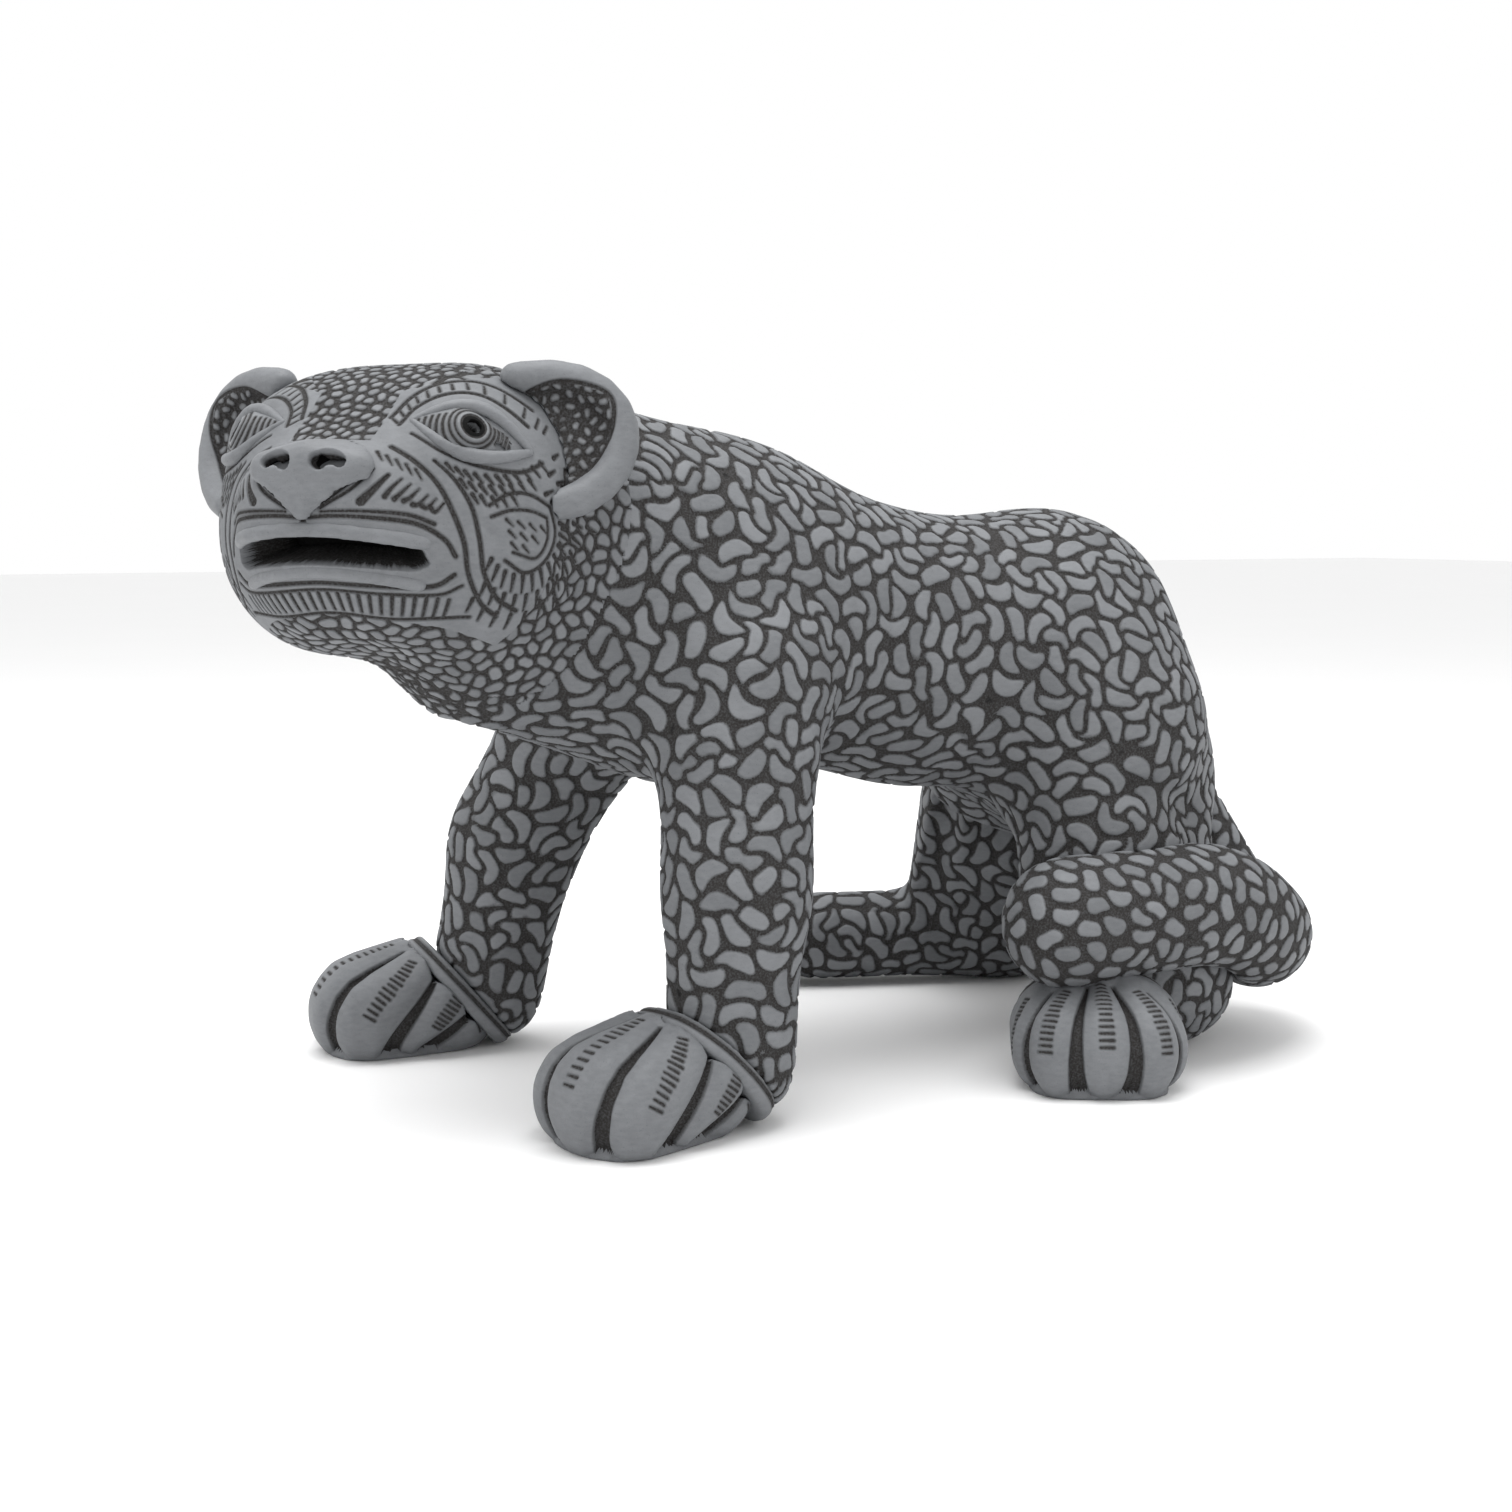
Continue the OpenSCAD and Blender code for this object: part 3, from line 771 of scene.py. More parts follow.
@dataclass
class Head:
    """The head's own axes, its filled skin and the drawing on its face."""

    figure: Figure
    turn: float = 43.0
    lift: float = 10.0
    eye_ahead: float = 16.0
    eye_up: float = 10.7
    neck_back: float = 15.0
    pupil_turn: float = 53.5
    pupil_lift: float = 21.0
    skin: BVHTree | None = None

    def __post_init__(self) -> None:
        """Works out the axes and the centre from the eyes' boxes."""
        t, e = math.radians(self.turn), math.radians(self.lift)
        self.ahead = np.array([math.sin(t) * math.cos(e), -math.cos(t) * math.cos(e), math.sin(e)])
        self.left = np.array([math.cos(t), math.sin(t), 0.0])
        self.crown = np.cross(self.ahead, self.left)
        boxes = [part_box(f"{side.name.lower()}_eyeball") for side in Side]
        eyes = np.mean([np.array(corner) for box in boxes for corner in box], axis=0)
        self.centre = eyes - (self.ahead * self.eye_ahead + self.crown * self.eye_up) * MM

    def ray(self, turn: np.ndarray | float, lift: np.ndarray | float) -> np.ndarray:
        """Direction from the head's centre, by angles in degrees to the animal's left and up."""
        t, e = np.radians(turn), np.radians(lift)
        return (
            np.multiply.outer(np.cos(t) * np.cos(e), self.ahead)
            + np.multiply.outer(np.sin(t) * np.cos(e), self.left)
            + np.multiply.outer(np.sin(e), self.crown)
        )

    def angles(self, points: np.ndarray) -> tuple[np.ndarray, np.ndarray]:
        """Turn and lift in degrees, seen from the head's centre."""
        q = (points - self.centre) / MM
        a, b, c = q @ self.ahead, q @ self.left, q @ self.crown
        return np.degrees(np.arctan2(b, a)), np.degrees(np.arcsin(c / np.linalg.norm(q, axis=1)))

    def solid(self) -> Shape:
        """The head's outside as a closed shape, with the mouth, the pupils and the neck filled.

        Returns:
            The filled shape.
        """
        parts = [self.figure.shape(n) for n in ("head_shell", "lower_jaw")]
        trees = [tree_of(p) for p in parts]
        ring = (parts[0].points - self.centre) / MM
        ring = ring[np.abs(ring @ self.ahead + self.neck_back) < 0.3]
        bearing = np.arctan2(ring @ self.crown, ring @ self.left)
        reach = np.hypot(ring @ self.crown, ring @ self.left)
        order = np.argsort(bearing)
        bearing, reach = bearing[order], reach[order]
        apart = np.abs(np.angle(np.exp(1j * (bearing[:, None] - bearing[None]))))
        outer = reach > np.where(apart < 0.12, reach[None], 0).max(1) - 0.8
        bm = bmesh.new()
        bmesh.ops.create_icosphere(bm, subdivisions=6, radius=1.0)
        rays = np.array([v.co for v in bm.verts])
        faces = np.array([[v.index for v in f.verts] for f in bm.faces])
        bm.free()
        rays = unit(rays)
        radius = np.full(len(rays), np.nan)
        for i, ray in enumerate(rays):
            back = -float(ray @ self.ahead)
            if back > 0.1:
                at_plane = self.neck_back / back * ray
                b, c = at_plane @ self.left, at_plane @ self.crown
                rim = np.interp(math.atan2(c, b), bearing[outer], reach[outer], period=2 * np.pi)
                inside = rim - 0.3 - math.hypot(b, c)
                if inside > 0:
                    radius[i] = (self.neck_back + (4.0 if inside > 2 else 0.0)) / back
                    continue
            start = Vector(self.centre + ray * 0.07)
            hits = [t.ray_cast(start, Vector(-ray), 0.07) for t in trees]
            found = [0.07 - h[3] for h in hits if h[0] is not None]
            if found and max(found) > 0.0185:
                radius[i] = max(found) / MM
        shape = Shape(rays, faces)
        ends = shape.edges().T
        known = np.isfinite(radius)
        filled = np.where(known, radius, np.nanmedian(radius))
        for _ in range(6):
            near = around(filled, ends)
            known &= np.abs(filled - near) < 3.0
            filled = np.where(known, radius, near)
        for _ in range(400):
            filled = np.where(known, radius, around(filled, ends))
        return Shape(self.centre + rays * filled[:, None] * MM, faces)

    def on_skin(self, turn: np.ndarray | float, lift: np.ndarray | float) -> np.ndarray:
        """Points of the finished skin in the given directions, in metres."""
        points = []
        for ray in np.atleast_2d(self.ray(turn, lift)):
            hit = self.skin.ray_cast(Vector(self.centre + ray * 0.07), Vector(-ray), 0.07)
            points.append(hit[0] if hit[0] is not None else self.centre + ray * 0.03)
        return np.array(points)


def relief(slip: np.ndarray, depth: np.ndarray | float) -> np.ndarray:
    """How deep the skin is cut, in metres, for a slip value and the depth of its scratch."""
    return depth * step(-slip, -0.28, 0.3) * MM


@dataclass
class Skin:
    """The clay body: torso, legs, head and jaw as one smooth surface, cut at its joints."""

    figure: Figure
    head: Head
    voxel: float = 1.1 * MM
    smoothing: int = 36
    swell: float = 0.7 * MM
    bean_depth: float = 0.42
    slot_depth: float = 11.0
    slot_half: float = 2.8

    BODY = ("torso_shell", "front_left_leg", "front_right_leg", "hind_left_leg", "hind_right_leg")
    FACE = ("head_shell", "lower_jaw")

    def owners(self, shape: Shape) -> np.ndarray:
        """The CAD node that each face lies nearest to, as its place in BODY + FACE."""
        parts = [self.figure.shape(n) for n in self.BODY + self.FACE]
        owner = np.repeat(np.arange(len(parts)), [len(p.faces) for p in parts])
        tree = tree_of(joined(parts))
        middles = shape.points[shape.faces].mean(1)
        return owner[[tree.find_nearest(m)[2] for m in middles.tolist()]]

    def build(self) -> None:
        """Builds the skin, scratches it and adds its pieces."""
        shapes = [self.figure.shape(n) for n in self.BODY] + [self.head.solid()]
        skin = remeshed(shapes, self.voxel, self.smoothing, self.swell)
        soft = skin.relaxed(160)
        behind = (skin.points - self.head.centre) @ self.head.ahead / MM + self.head.neck_back
        near_neck = np.linalg.norm(skin.points - self.head.centre, axis=1) < 0.045
        share = np.exp(-((behind / 9) ** 2)) * near_neck
        skin.points = skin.points + (soft.points - skin.points) * share[:, None]
        self.head.skin = tree_of(skin)
        log.info("skin: %d faces", len(skin.faces))
        normals = skin.normals()
        near_head = np.linalg.norm(skin.points - self.head.centre, axis=1) / MM
        scale = 0.66 + 0.34 * step(near_head, 26.0, 50.0)
        slip, tone = Beans().slip(skin, scale)
        owner = self.owners(skin)
        body = len(self.BODY)
        extra = np.concatenate([normals, slip[:, None], tone[:, None]], 1)
        for place, name in enumerate(self.BODY):
            part, used = skin.keep(owner == place)
            part.points = part.points - normals[used] * relief(slip[used], self.bean_depth)[:, None]
            self.figure.add(name, "skin", part, "beaned_clay", slip[used], tone[used], cap=True)
        part, used = skin.keep(owner >= body)
        self.face(part, extra[used])

    def face(self, part: Shape, extra: np.ndarray) -> None:
        """Draws the face on the finer head skin and adds the head and the jaw.

        Args:
            part: The head's part of the skin.
            extra: Normal, slip and tone at each of its points.
        """
        wide = Shape(np.concatenate([part.points, extra], 1), part.faces).split()
        fine = Shape(wide.points[:, :3], wide.faces)
        normals, bean, tone = unit(wide.points[:, 3:6]), wide.points[:, 6], wide.points[:, 7]
        turn, lift = self.head.angles(fine.points)
        q = (fine.points - self.head.centre) / MM
        a, b, c = q @ self.head.ahead, np.abs(q @ self.head.left), q @ self.head.crown
        turn = np.abs(turn)
        pebbled = np.minimum.reduce([8.0 + 1.3 * np.maximum(c - 18, 0) - b, c - 7.5, 30 - a, a + 3])
        cheek = np.minimum.reduce([turn - 86, 12 - lift, 122 - turn]) * MM_PER_DEGREE
        scaled = np.maximum((-48 - lift) * MM_PER_DEGREE, cheek)
        backed = np.maximum((turn - 122) * MM_PER_DEGREE, np.minimum((lift - 47) * MM_PER_DEGREE, -pebbled))
        pebble = Beans(1.95, 1.12, 0.3, 0.0, 0.3, 2, 11)
        scale = Beans(2.7, 1.5, 0.42, 0.05, 0.8, 3, 12)
        value = np.full(len(turn), FAR)
        shade = 0.35 + 0.3 * tone
        zones = ((pebbled, pebble.slip(fine)), (scaled, scale.slip(fine)), (backed, (bean, tone)))
        for zone, (cells, own) in zones:
            value = np.minimum(value, np.where(zone > -1, np.maximum(cells, -4 * zone), FAR))
            shade = np.where(zone > 0, own, shade)
        marks = Scratches()
        FaceDrawing(self.head, marks).draw()
        near, depth = marks.slip(fine.points)
        cut = np.maximum(relief(value, 0.34), relief(near, depth))
        value = np.minimum(value, near)
        points = fine.points - normals * cut[:, None]
        slot = Scratches()
        path = curve([(-41, -25.5), (-30, -23.5), (0, -22.8), (30, -23.5), (41, -25.5)], 160)
        slot.line(self.head.on_skin(path[:, 0], path[:, 1]), 0.0)
        slot.widths[0] = 2 * self.slot_half * (1 - np.abs(np.linspace(-1, 1, 160)) ** 3) ** 0.5
        for side in Side:
            slot.line(self.head.on_skin(side.value * self.head.pupil_turn, self.head.pupil_lift), 3.0)
        mouth, _ = slot.slip(fine.points)
        deep = np.where(turn > 46, 5.0, self.slot_depth) * step(-mouth, 0.0, 0.45)
        fine.points = points + unit(self.head.centre - points) * deep[:, None] * MM
        # Painted shade: deep in the mouth slot and the pupil pockets the slip value falls to -3, which the
        # finish colours near-black.
        value = np.minimum(value, np.where(mouth < 1.2, np.maximum(mouth * 6 + 0.6, -3.0), FAR))
        owner = self.owners(Shape(wide.points[:, :3], fine.faces))
        jaw = owner == len(self.BODY) + 1
        for name, own_faces in zip(self.FACE, (~jaw, jaw)):
            piece, used = fine.keep(own_faces)
            self.figure.add(name, "skin", piece, "carved_slip", value[used], shade[used], cap=True)


@dataclass
class FaceDrawing:
    """The lines on the face, by turn and lift from the head's centre in degrees."""

    head: Head
    marks: Scratches
    seed: int = 21

    def line(
        self, controls: Sequence[Sequence[float]], start: float, end: float | None = None, depth: float = 0.34
    ) -> None:
        """Draws one curve on both sides of the face.

        Args:
            controls: Points of the curve, as turn and lift in degrees.
            start: Width at its start, in millimetres.
            end: Width at its end, the same as at its start if None.
            depth: Depth in millimetres.
        """
        rough = np.asarray(controls, float)
        length = np.hypot(*(rough[1:] - rough[:-1]).T).sum() * MM_PER_DEGREE
        path = curve(controls, max(4, int(length / 0.22)))
        for side in Side:
            self.marks.line(self.head.on_skin(side.value * path[:, 0], path[:, 1]), start, end, depth)

    def draw(self) -> None:
        """Draws every line of the face."""
        self.muzzle()
        self.jaw()
        self.eyes()
        self.cheeks()

    def muzzle(self) -> None:
        """Lines under the nose, the rows of whisker marks and the band behind them."""
        rng = np.random.default_rng(self.seed)
        self.line([(0, -9), (0, -14.5)], 0.9)
        self.line([(2, -12.5), (10, -12), (23, -12), (36, -13), (46, -17), (51, -22)], 0.55, 0.75)
        self.line([(17, 1), (11, -5), (3, -10)], 0.6, 0.4)
        self.line([(21, 3), (15, -4), (6, -9.5)], 0.45, 0.6)
        band = [(26, 13), (34, 8), (42, 1), (48, -8), (53, -17), (57, -27), (65, -35), (74, -38)]
        self.line(band, 0.9, 0.7)
        self.line([(41, 9), (48, 3), (54, -5), (58, -15), (62, -25), (70, -32), (80, -34)], 0.6, 0.8)
        self.line([(6, -10.8), (20, -10.2), (33, -10.4), (42, -12.5)], 0.4, 0.6)
        self.line([(26, 1.5), (22, -3.5), (18.5, -7.5)], 0.6, 1.5, 0.45)
        for k in range(6):
            t = 26.0 + 2.9 * k
            top = 0.5 - 1.25 * k + rng.uniform(-0.4, 0.4)
            self.line([(t + 4.2, top), (t + 1.4, top - 3.2), (t - 0.6, top - 6.2 + 0.9 * k)], 0.3, 0.85)
        for k in range(5):
            t = 21.5 + 3.3 * k
            self.line([(t, 10 - 1.3 * k), (t + 2.0, 6.6 - 1.3 * k)], 0.6, 0.3, 0.25)

    def jaw(self) -> None:
        """Lower lip's groove, the row of short upright strokes and the jaw's edge."""
        self.line([(0, -34.5), (12, -34.5), (34, -34), (46, -32.5), (52, -28)], 0.7, 0.8)
        self.line([(0, -37.3), (30, -37), (48, -35.5), (56, -31)], 0.5)
        self.line([(0, -47.5), (30, -47), (50, -44.5), (64, -41)], 0.6)
        for k in range(12):
            t = 2.2 + 4.6 * k
            top = -38.6 + 0.0007 * t * t
            self.line([(t, top), (t + 0.5, top - 7.0)], 0.62, 0.42)

    def eyes(self) -> None:
        """Brow lines with strokes between them, and lines under the lower lid."""
        rng = np.random.default_rng(self.seed + 1)
        self.line([(28, 25), (35, 34), (47, 38.5), (62, 36), (76, 24)], 0.6, 0.75)
        self.line([(24, 30), (33, 41), (48, 46.5), (66, 44), (82, 31)], 0.7, 0.9)
        self.line([(33, 20), (44, 12.5), (57, 8.5), (70, 8), (79, 12)], 0.5, 0.65)
        lower = curve([(28, 25), (35, 34), (47, 38.5), (62, 36), (76, 24), (84, 20)], 14)
        upper = curve([(24, 30), (33, 41), (48, 46.5), (66, 44), (82, 31), (90, 24)], 14)
        for base, end in zip(lower[:-1], upper[:-1]):
            share = rng.uniform(0.2, 0.3)
            self.line([base * (1 - share) + end * share, base * 0.22 + end * 0.78], 0.5, 0.35, 0.28)

    def cheeks(self) -> None:
        """A smooth crescent with small checks in it, and strokes like hair round it."""
        self.line([(60, -4), (66, 0.5), (73, 1.5), (81, -1)], 0.6)
        self.line([(61, -7.5), (67, -4.5), (74, -3.5), (80, -4.5)], 0.55)
        self.line([(81, -1), (84, -9), (82, -17), (76, -22), (68, -20)], 0.6)
        self.line([(80, -4.5), (81, -11), (78, -17), (70, -17)], 0.5)
        for row in range(3):
            for k in range(4 - row):
                t, e = 66 + 4 * k + 1.4 * row, -7.5 - 3.4 * row
                self.line([(t, e), (t + 2.4, e - 1.6)], 0.55, 0.3, 0.25)
        rng = np.random.default_rng(self.seed + 2)
        for row, (start, lift, lean) in enumerate(((45, 5.6, 2.6), (50, 2.2, 2.4), (54, -1.4, 2.0))):
            for k in range(11 - 3 * row):
                t = start + 3.3 * k + rng.uniform(-0.3, 0.3)
                top = lift + 0.055 * (t - 58) ** 2 * 0.3
                self.line([(t, top), (t + lean, top - 2.7)], 0.72, 0.35, 0.3)
        for reach, count in ((14.0, 15), (20.5, 17), (27.0, 16)):
            for k in range(count):
                angle = math.radians(-128 + 200 / count * (k + 0.25 * (reach > 18)))
                out = np.array([math.cos(angle), math.sin(angle)])
                start = np.array([72.0, -9.5]) + out * reach
                if start[0] < 60.5 or start[0] > 99:
                    continue
                self.line([start, start + out * 3.6 + np.array([1.2, -1.6])], 0.8, 0.35)


@dataclass
class Feature:
    """A small piece of smooth slip: an ear, a lid, a lip or the nose."""

    figure: Figure
    head: Head
    node: str
    voxel: float = 0.45 * MM
    smoothing: int = 6
    finish: str = "smooth_slip"
    pressed: float = 0.0

    def mark(self, shape: Shape, marks: Scratches) -> None:
        """Draws the piece's own scratches; a plain one has none."""

    def cells(self, shape: Shape) -> np.ndarray:
        """Slip value of the piece's own small cells; a plain one has none."""
        return np.full(len(shape.points), FAR)

    def build(self) -> None:
        """Builds the piece and adds it."""
        shape = remeshed([self.figure.shape(self.node)], self.voxel, self.smoothing)
        shape.points = shape.points + unit(self.head.centre - shape.points) * self.pressed * MM
        marks = Scratches()
        self.mark(shape, marks)
        slip, depth = marks.slip(shape.points)
        cells = self.cells(shape)
        rng = np.random.default_rng(len(self.node))
        shape.sink(np.maximum(relief(slip, depth), relief(cells, 0.26)))
        # Painted shade: scratches deeper than 1.2 mm, the pierced nostrils, get five times their slip value,
        # which the finish colours near-black.
        slip = np.minimum(np.where(depth > 1.2, slip * 5, slip), cells)
        self.figure.add(self.node, "form", shape, self.finish, slip, rng.uniform(0.4, 0.7))


@dataclass
class Nose(Feature):
    """The nose leather with two pierced nostrils."""

    nostril_left: float = 5.2
    nostril_up: float = 3.0

    def mark(self, shape: Shape, marks: Scratches) -> None:
        """Pierces the nostrils, seen from the front."""
        tree = tree_of(shape)
        shift = np.linspace(-1.9, 1.9, 15)
        rise = np.outer(self.nostril_up - 0.22 * shift * shift, self.head.crown) + self.head.ahead * 60
        for side in Side:
            places = rise + np.outer(self.nostril_left + shift, self.head.left * side.value)
            found = struck(tree, self.head.centre + places * MM, -self.head.ahead)
            if len(found):
                # The nostrils' depth of 2.8 mm makes Feature.build paint their insides with near-black shade.
                marks.line(found, 2.9, 1.9, 2.8)


@dataclass
class Ear(Feature):
    """An ear with a line inside its rim and small cells scratched in its cup."""

    side: Side = Side.LEFT
    voxel: float = 0.6 * MM
    smoothing: int = 9

    CUP = ((25.5, 20.0), (33.0, 22.6), (40.5, 21.0), (41.5, 15.5), (38.5, 8.5), (34.5, 3.5), (29.5, 10.0))

    def __post_init__(self) -> None:
        """Works out the head's axes on the ear's own side."""
        self.axes = np.stack([self.head.ahead, self.head.left * self.side.value, self.head.crown])

    def mark(self, shape: Shape, marks: Scratches) -> None:
        """Draws the line round the cup, seen from the front."""
        places = np.column_stack([np.full(130, 24.0), curve(self.CUP[:-1], 130)]) @ self.axes
        found = struck(tree_of(shape), self.head.centre + places * MM, -self.head.ahead)
        if len(found):
            marks.line(found, 0.75, 0.75, 0.4)

    def cells(self, shape: Shape) -> np.ndarray:
        """Small cells inside the line, on the faces that look ahead."""
        place = ((shape.points - self.head.centre) / MM) @ self.axes.T
        corners = np.array(self.CUP)
        inside = np.full(len(place), FAR)
        for a, b in zip(corners, np.roll(corners, -1, axis=0)):
            along = (b - a) / np.linalg.norm(b - a)
            offset = place[:, 1:] - a
            inside = np.minimum(inside, along[1] * offset[:, 0] - along[0] * offset[:, 1])
        facing = shape.normals() @ self.head.ahead
        inside = np.minimum(inside, (facing - 0.12) * 6)
        slip, _ = Beans(1.7, 0.85, 0.42, 0.0, 0.35, 2, 43).slip(shape)
        return np.where(inside > -0.3, np.maximum(slip, -3 * inside), FAR)


@dataclass
class Eyeball(Feature):
    """An eye with two rings round its pierced pupil and strokes in its corners."""

    side: Side = Side.LEFT
    voxel: float = 0.3 * MM
    smoothing: int = 4
    finish: str = "eye_slip"
    pupil_radius: float = 2.45

    def cells(self, shape: Shape) -> np.ndarray:
        """Painted near-black shade of the pupil, round its axis."""
        axis = self.head.ray(self.side.value * self.head.pupil_turn, self.head.pupil_lift)
        offset = (shape.points - self.head.centre) / MM
        away = np.linalg.norm(offset - np.outer(offset @ axis, axis), axis=1)
        return np.where(away < 3, np.maximum((away - self.pupil_radius) * 6, -3), FAR)

    def mark(self, shape: Shape, marks: Scratches) -> None:
        """Draws the rings and strokes."""
        tree = tree_of(shape)
        axis = self.head.ray(self.side.value * self.head.pupil_turn, self.head.pupil_lift)
        across = np.cross(self.head.crown, axis)
        across /= np.linalg.norm(across)
        up = np.cross(axis, across)

        def cast(radius: float, angle: np.ndarray) -> np.ndarray:
            """The eye's face at a radius in millimetres and angles in radians round the pupil."""
            offset = np.outer(np.cos(angle), across) + np.outer(np.sin(angle), up)
            return struck(tree, self.head.centre + axis * 0.06 + offset * radius * MM, -axis)

        turns = np.linspace(0, 2 * np.pi, 90)
        for radius, width in ((3.3, 0.35), (4.1, 0.45)):
            marks.line(cast(radius, turns), width, depth=0.22)
        for k, radius in enumerate((4.9, 5.7, 6.5, 7.3, 8.1)):
            for middle in (0.0, np.pi):
                arc = cast(radius, middle + np.linspace(-0.62, 0.62, 24) * (1 - 0.1 * k))
                if len(arc) > 2:
                    marks.line(arc, 0.5, 0.5, 0.22)


@dataclass(frozen=True)
class Toes:
    """How a paw's toes are laid out, with angles in degrees."""

    count: int
    fan: float
    lean: float  # turn of the whole fan to the animal's left
    sweep: float  # how many times wider the toes spread at the band than at their tips


FRONT_TOES = Toes(6, 168.0, 18.0, 1.9)
HIND_TOES = Toes(5, 155.0, 0.0, 1.15)


@dataclass
class Paw:
    """A paw with toes parted by grooves that widen to their tips, and hatches across each toe."""

    figure: Figure
    node: str
    turn: float
    toes: Toes
    seed: int = 31

    def build(self) -> None:
        """Builds the paw and adds it."""
        shape = remeshed([self.figure.shape(self.node)], 0.62 * MM, 10)
        tree = tree_of(shape)
        t = math.radians(self.turn)
        ahead = np.array([math.sin(t), -math.cos(t), 0.0])
        left = np.array([math.cos(t), math.sin(t), 0.0])
        along, side = shape.points @ ahead, shape.points @ left
        middle = ahead * (along.min() + 0.3 * np.ptp(along)) + left * (side.min() + side.max()) / 2
        middle = middle + np.array([0, 0, 3.5 * MM])

        def cast(bearing: np.ndarray, rise: np.ndarray) -> np.ndarray:
            """The paw's face at bearings from straight ahead and heights, in degrees."""
            b, r = np.radians(bearing), np.radians(rise)
            rays = np.outer(np.cos(b) * np.cos(r), ahead) + np.outer(np.sin(b) * np.cos(r), left)
            rays[:, 2] += np.sin(r)
            return struck(tree, middle + rays * 0.06, -rays)

        def along_toe(bearing: float) -> np.ndarray:
            """A line from the band forward and down to the sole, ending at the given bearing."""
            start = 72 - 0.4 * abs(bearing)
            return cast(np.linspace(bearing * self.toes.sweep, bearing, 70), np.linspace(start, -13, 70))

        rng = np.random.default_rng(self.seed)
        grooves, hatches = Scratches(), Scratches()
        wide = self.toes.fan / self.toes.count
        first = self.toes.lean - self.toes.fan / 2
        for i in range(1, self.toes.count):
            grooves.line(along_toe(first + wide * i), 0.5, 4.0, 1.1)
        for i in range(self.toes.count):
            path = along_toe(first + wide * (i + 0.5))
            for k in range(5, min(len(path) - 2, 42), 3):
                normal = np.array(tree.find_nearest(Vector(path[k]))[1])
                across = np.cross(path[k + 1] - path[k - 1], normal)
                length = np.linalg.norm(across)
                if length > 0:
                    half = rng.uniform(1.0, 1.45) * min(1.0, 0.45 + k / 30)
                    stroke = np.outer(np.linspace(-half, half, 12), across / length) * MM
                    hatches.line(path[k] + stroke, 0.6, 0.4, 0.26)
        groove, depth = grooves.slip(shape.points)
        hatch, shallow = hatches.slip(shape.points)
        upper = step(shape.normals()[:, 2], -0.93, -0.8)
        valley = 1.3 * np.exp(-((np.maximum(groove + 0.7, 0) / 2.2) ** 2)) * MM
        cut = np.maximum(relief(groove, depth) + valley, relief(hatch, shallow)) * upper
        shape.sink(cut)
        # Painted shade: where a groove is wider than 2.4 mm, towards the toe tips, its middle falls far
        # enough below zero for the finish to darken it toward near-black.
        slip = np.where(upper > 0.5, np.minimum(groove, hatch), FAR)
        self.figure.add(self.node, "toes", shape, "paw_slip", slip, 0.5)


@dataclass
class Cuff:
    """A smooth raised band with one line scratched round it."""

    figure: Figure
    node: str
    girth: float = 0.94
    thickness: float = 1.35

    def build(self) -> None:
        """Builds the band and adds it."""
        shape = remeshed([self.figure.shape(self.node)], 0.6 * MM, 12)
        middle = shape.points.mean(0)
        offset = shape.points - middle
        normal = np.linalg.svd(offset[::7], full_matrices=False)[2][2]
        level = offset @ normal
        flat = offset - np.outer(level, normal)
        shape.points = middle + flat * self.girth + np.outer(level * self.thickness, normal)
        slip = np.abs(level / MM - 0.55) - 0.32
        shape.sink(relief(slip, 0.3))
        self.figure.add(self.node, "band", shape, "smooth_slip", slip, 0.6)


@dataclass
class Tail:
    """The tail with rounder patches than the body's."""

    figure: Figure
    node: str = "tail"

    def build(self) -> None:
        """Builds the tail and adds it."""
        shape = remeshed([self.figure.shape(self.node)], 1.1 * MM, 30)
        slip, tone = Beans(4.3, 1.95, 0.9, 0.07, 1.2, 5, 17).slip(shape)
        shape.sink(relief(slip, 0.42))
        self.figure.add(self.node, "skin", shape, "beaned_clay", slip, tone)


# ---- Studio ----


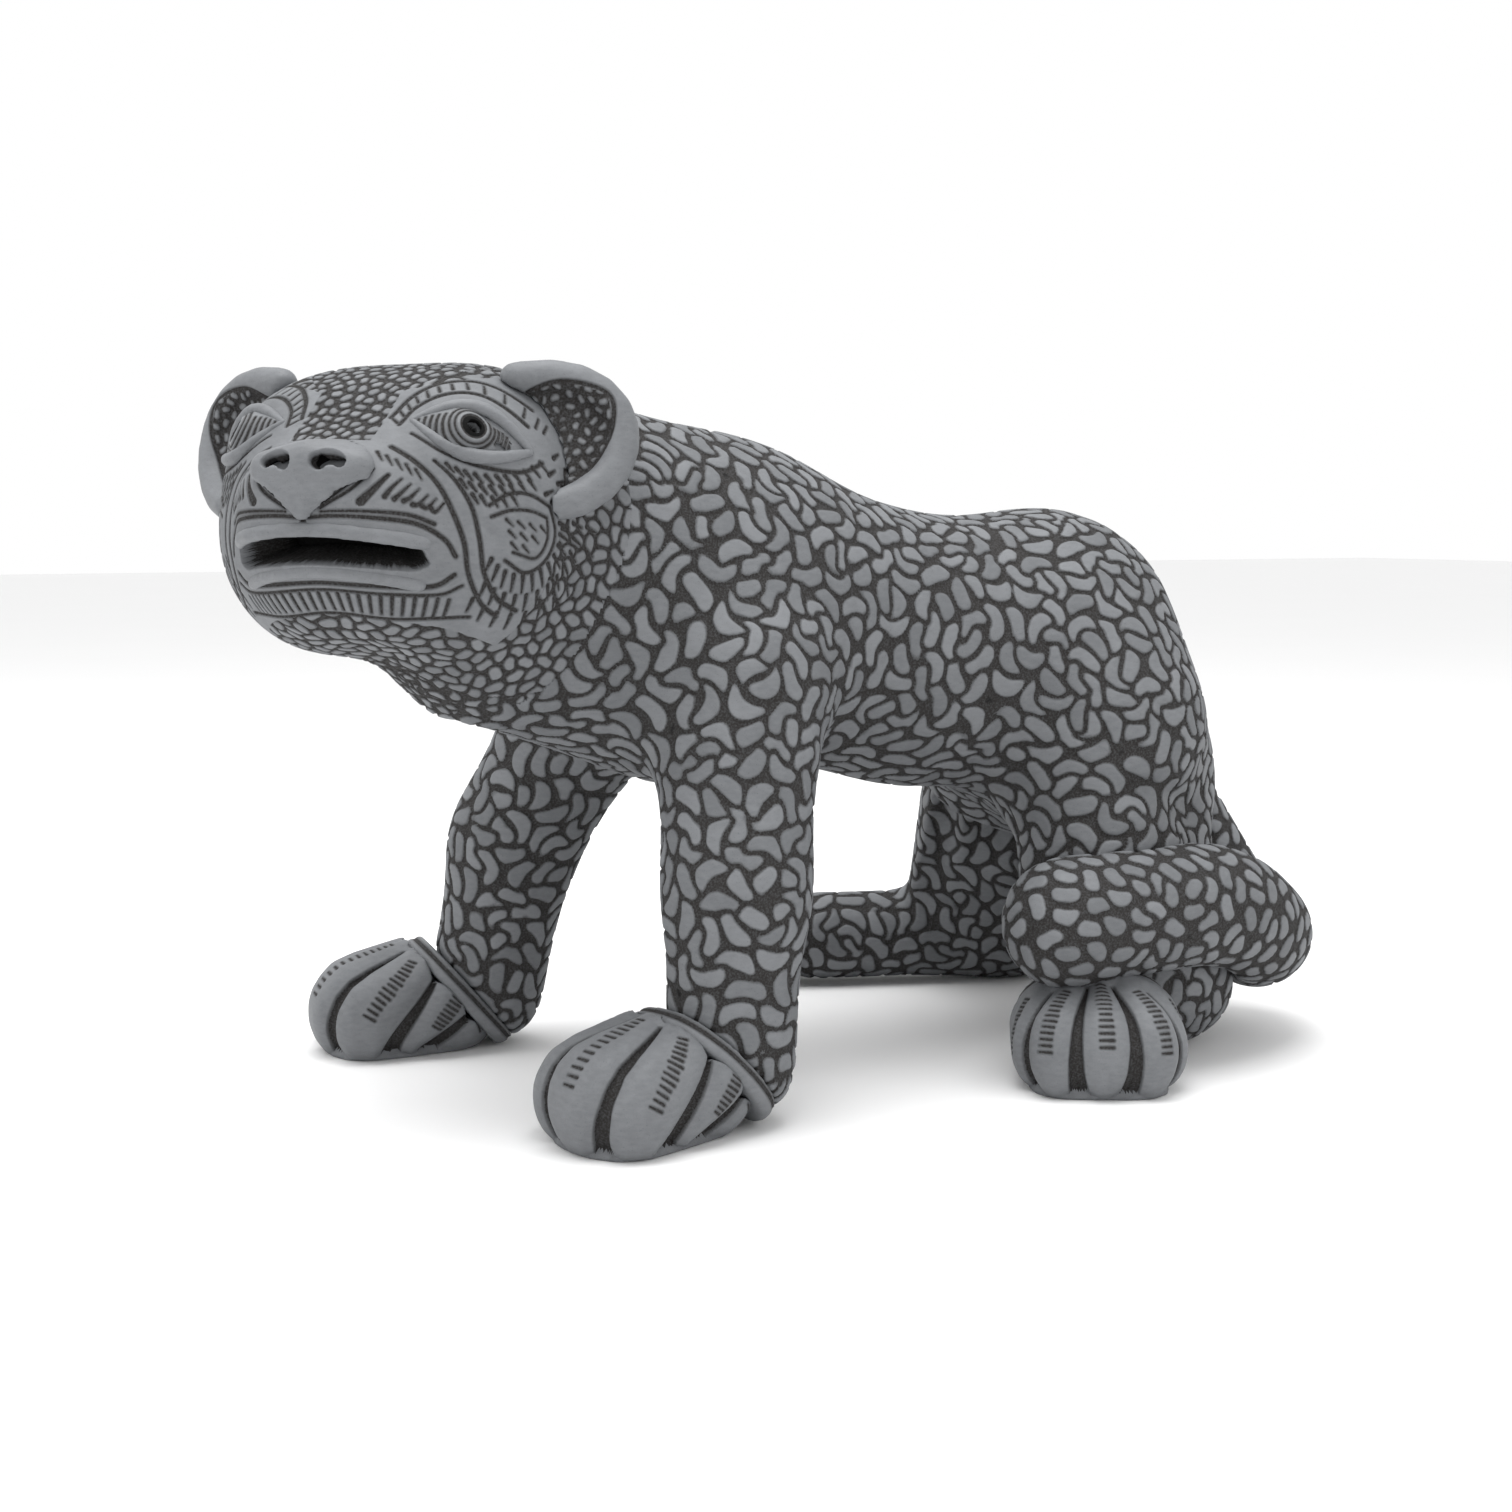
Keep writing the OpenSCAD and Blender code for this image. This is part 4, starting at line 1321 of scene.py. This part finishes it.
@dataclass
class Studio:
    """Pale floor, soft lights and the camera."""

    eye: tuple[float, float, float] = (0.40892, -0.21771, 0.116)
    bearing: float = 62.0
    down: float = 6.4
    lens: float = 51.19
    sensor: float = 36.0
    floor_half: float = 4.0

    def floor(self) -> None:
        """Adds the floor."""
        corners = np.array([(-1, -1, 0), (1, -1, 0), (1, 1, 0), (-1, 1, 0)]) * self.floor_half
        floor = linked("floor", to_mesh("floor", Shape(corners, np.array([[0, 1, 2, 3]]))))
        floor.data.materials.append(FloorFinish().material())

    def light(self, name: str, place: Sequence[float], size: float, power: float) -> None:
        """Adds one square soft light that faces the figure.

        Args:
            name: Its name.
            place: Where it is, in metres.
            size: Side of the square, in metres.
            power: Watts.
        """
        data = bpy.data.lights.new(name, "AREA")
        data.size = size
        data.energy = power
        lamp = linked(name, data)
        lamp.location = place
        lamp.rotation_euler = (Vector((0, 0, 0.07)) - Vector(place)).to_track_quat("-Z", "Y").to_euler()

    def camera(self) -> None:
        """Adds the camera."""
        data = bpy.data.cameras.new("camera")
        data.lens = self.lens
        data.sensor_width = self.sensor
        data.clip_start = 0.01
        data.dof.use_dof = False
        camera = linked("camera", data)
        camera.location = self.eye
        camera.rotation_euler = (math.radians(90 - self.down), 0, math.radians(self.bearing))
        bpy.context.scene.camera = camera

    def world(self) -> None:
        """Sets the even white surround."""
        world = bpy.data.worlds.new("studio")
        world.use_nodes = True
        background = world.node_tree.nodes["Background"]
        background.inputs["Color"].default_value = (1.0, 1.0, 1.0, 1)
        background.inputs["Strength"].default_value = 1.0
        bpy.context.scene.world = world
        bpy.context.scene.view_settings.view_transform = "Standard"

    def build(self) -> None:
        """Sets up the whole studio."""
        self.floor()
        self.light("overhead", (0.05, -0.10, 0.8), 0.6, 6.2)
        self.light("left", (-0.1, -0.9, 0.5), 0.5, 1.1)
        self.light("right", (0.75, 0.45, 0.6), 0.5, 0.8)
        self.camera()
        self.world()


def finishes() -> dict[str, bpy.types.Material]:
    """Builds every finish of the figure, by the name of its slot in the record."""
    kinds = (
        Finish("beaned_clay"),
        Finish("carved_slip", ragged=0.09, edge=0.04),
        Finish("smooth_slip", ragged=0.07, edge=0.04, sheen=0.5),
        Finish("eye_slip", ragged=0.05, edge=0.04, sheen=0.42),
        Finish("paw_slip", ragged=0.1, edge=0.05, sheen=0.55),
    )
    return {kind.name: kind.material() for kind in kinds}


def main() -> None:
    """Builds the figure and its studio in order."""
    logging.basicConfig(level=logging.INFO, format="%(message)s")
    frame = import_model()
    figure = Figure(frame["nodes"], finishes())
    head = Head(figure)
    Skin(figure, head).build()
    for side in Side:
        prefix = side.name.lower()
        Ear(figure, head, f"{prefix}_ear", side=side).build()
        Eyeball(figure, head, f"{prefix}_eyeball", side=side).build()
        for lid in ("upper", "lower"):
            Feature(figure, head, f"{prefix}_{lid}_eyelid", 0.35 * MM, 8, pressed=0.5).build()
    for node in ("upper_lip", "lower_lip"):
        Feature(figure, head, node, 0.4 * MM, 20, pressed=1.1).build()
    Nose(figure, head, "nose_pad", 0.45 * MM, 5).build()
    turns = {"front_left": 12.0, "front_right": -8.0, "hind_left": 60.0, "hind_right": -28.0}
    for place, turn in turns.items():
        Paw(figure, f"{place}_paw", turn, FRONT_TOES if place.startswith("front") else HIND_TOES).build()
        Cuff(figure, f"{place}_cuff").build()
    Tail(figure).build()
    Studio().build()
    log.info("whole figure: %d faces", figure.total)


if __name__ == "__main__":
    main()
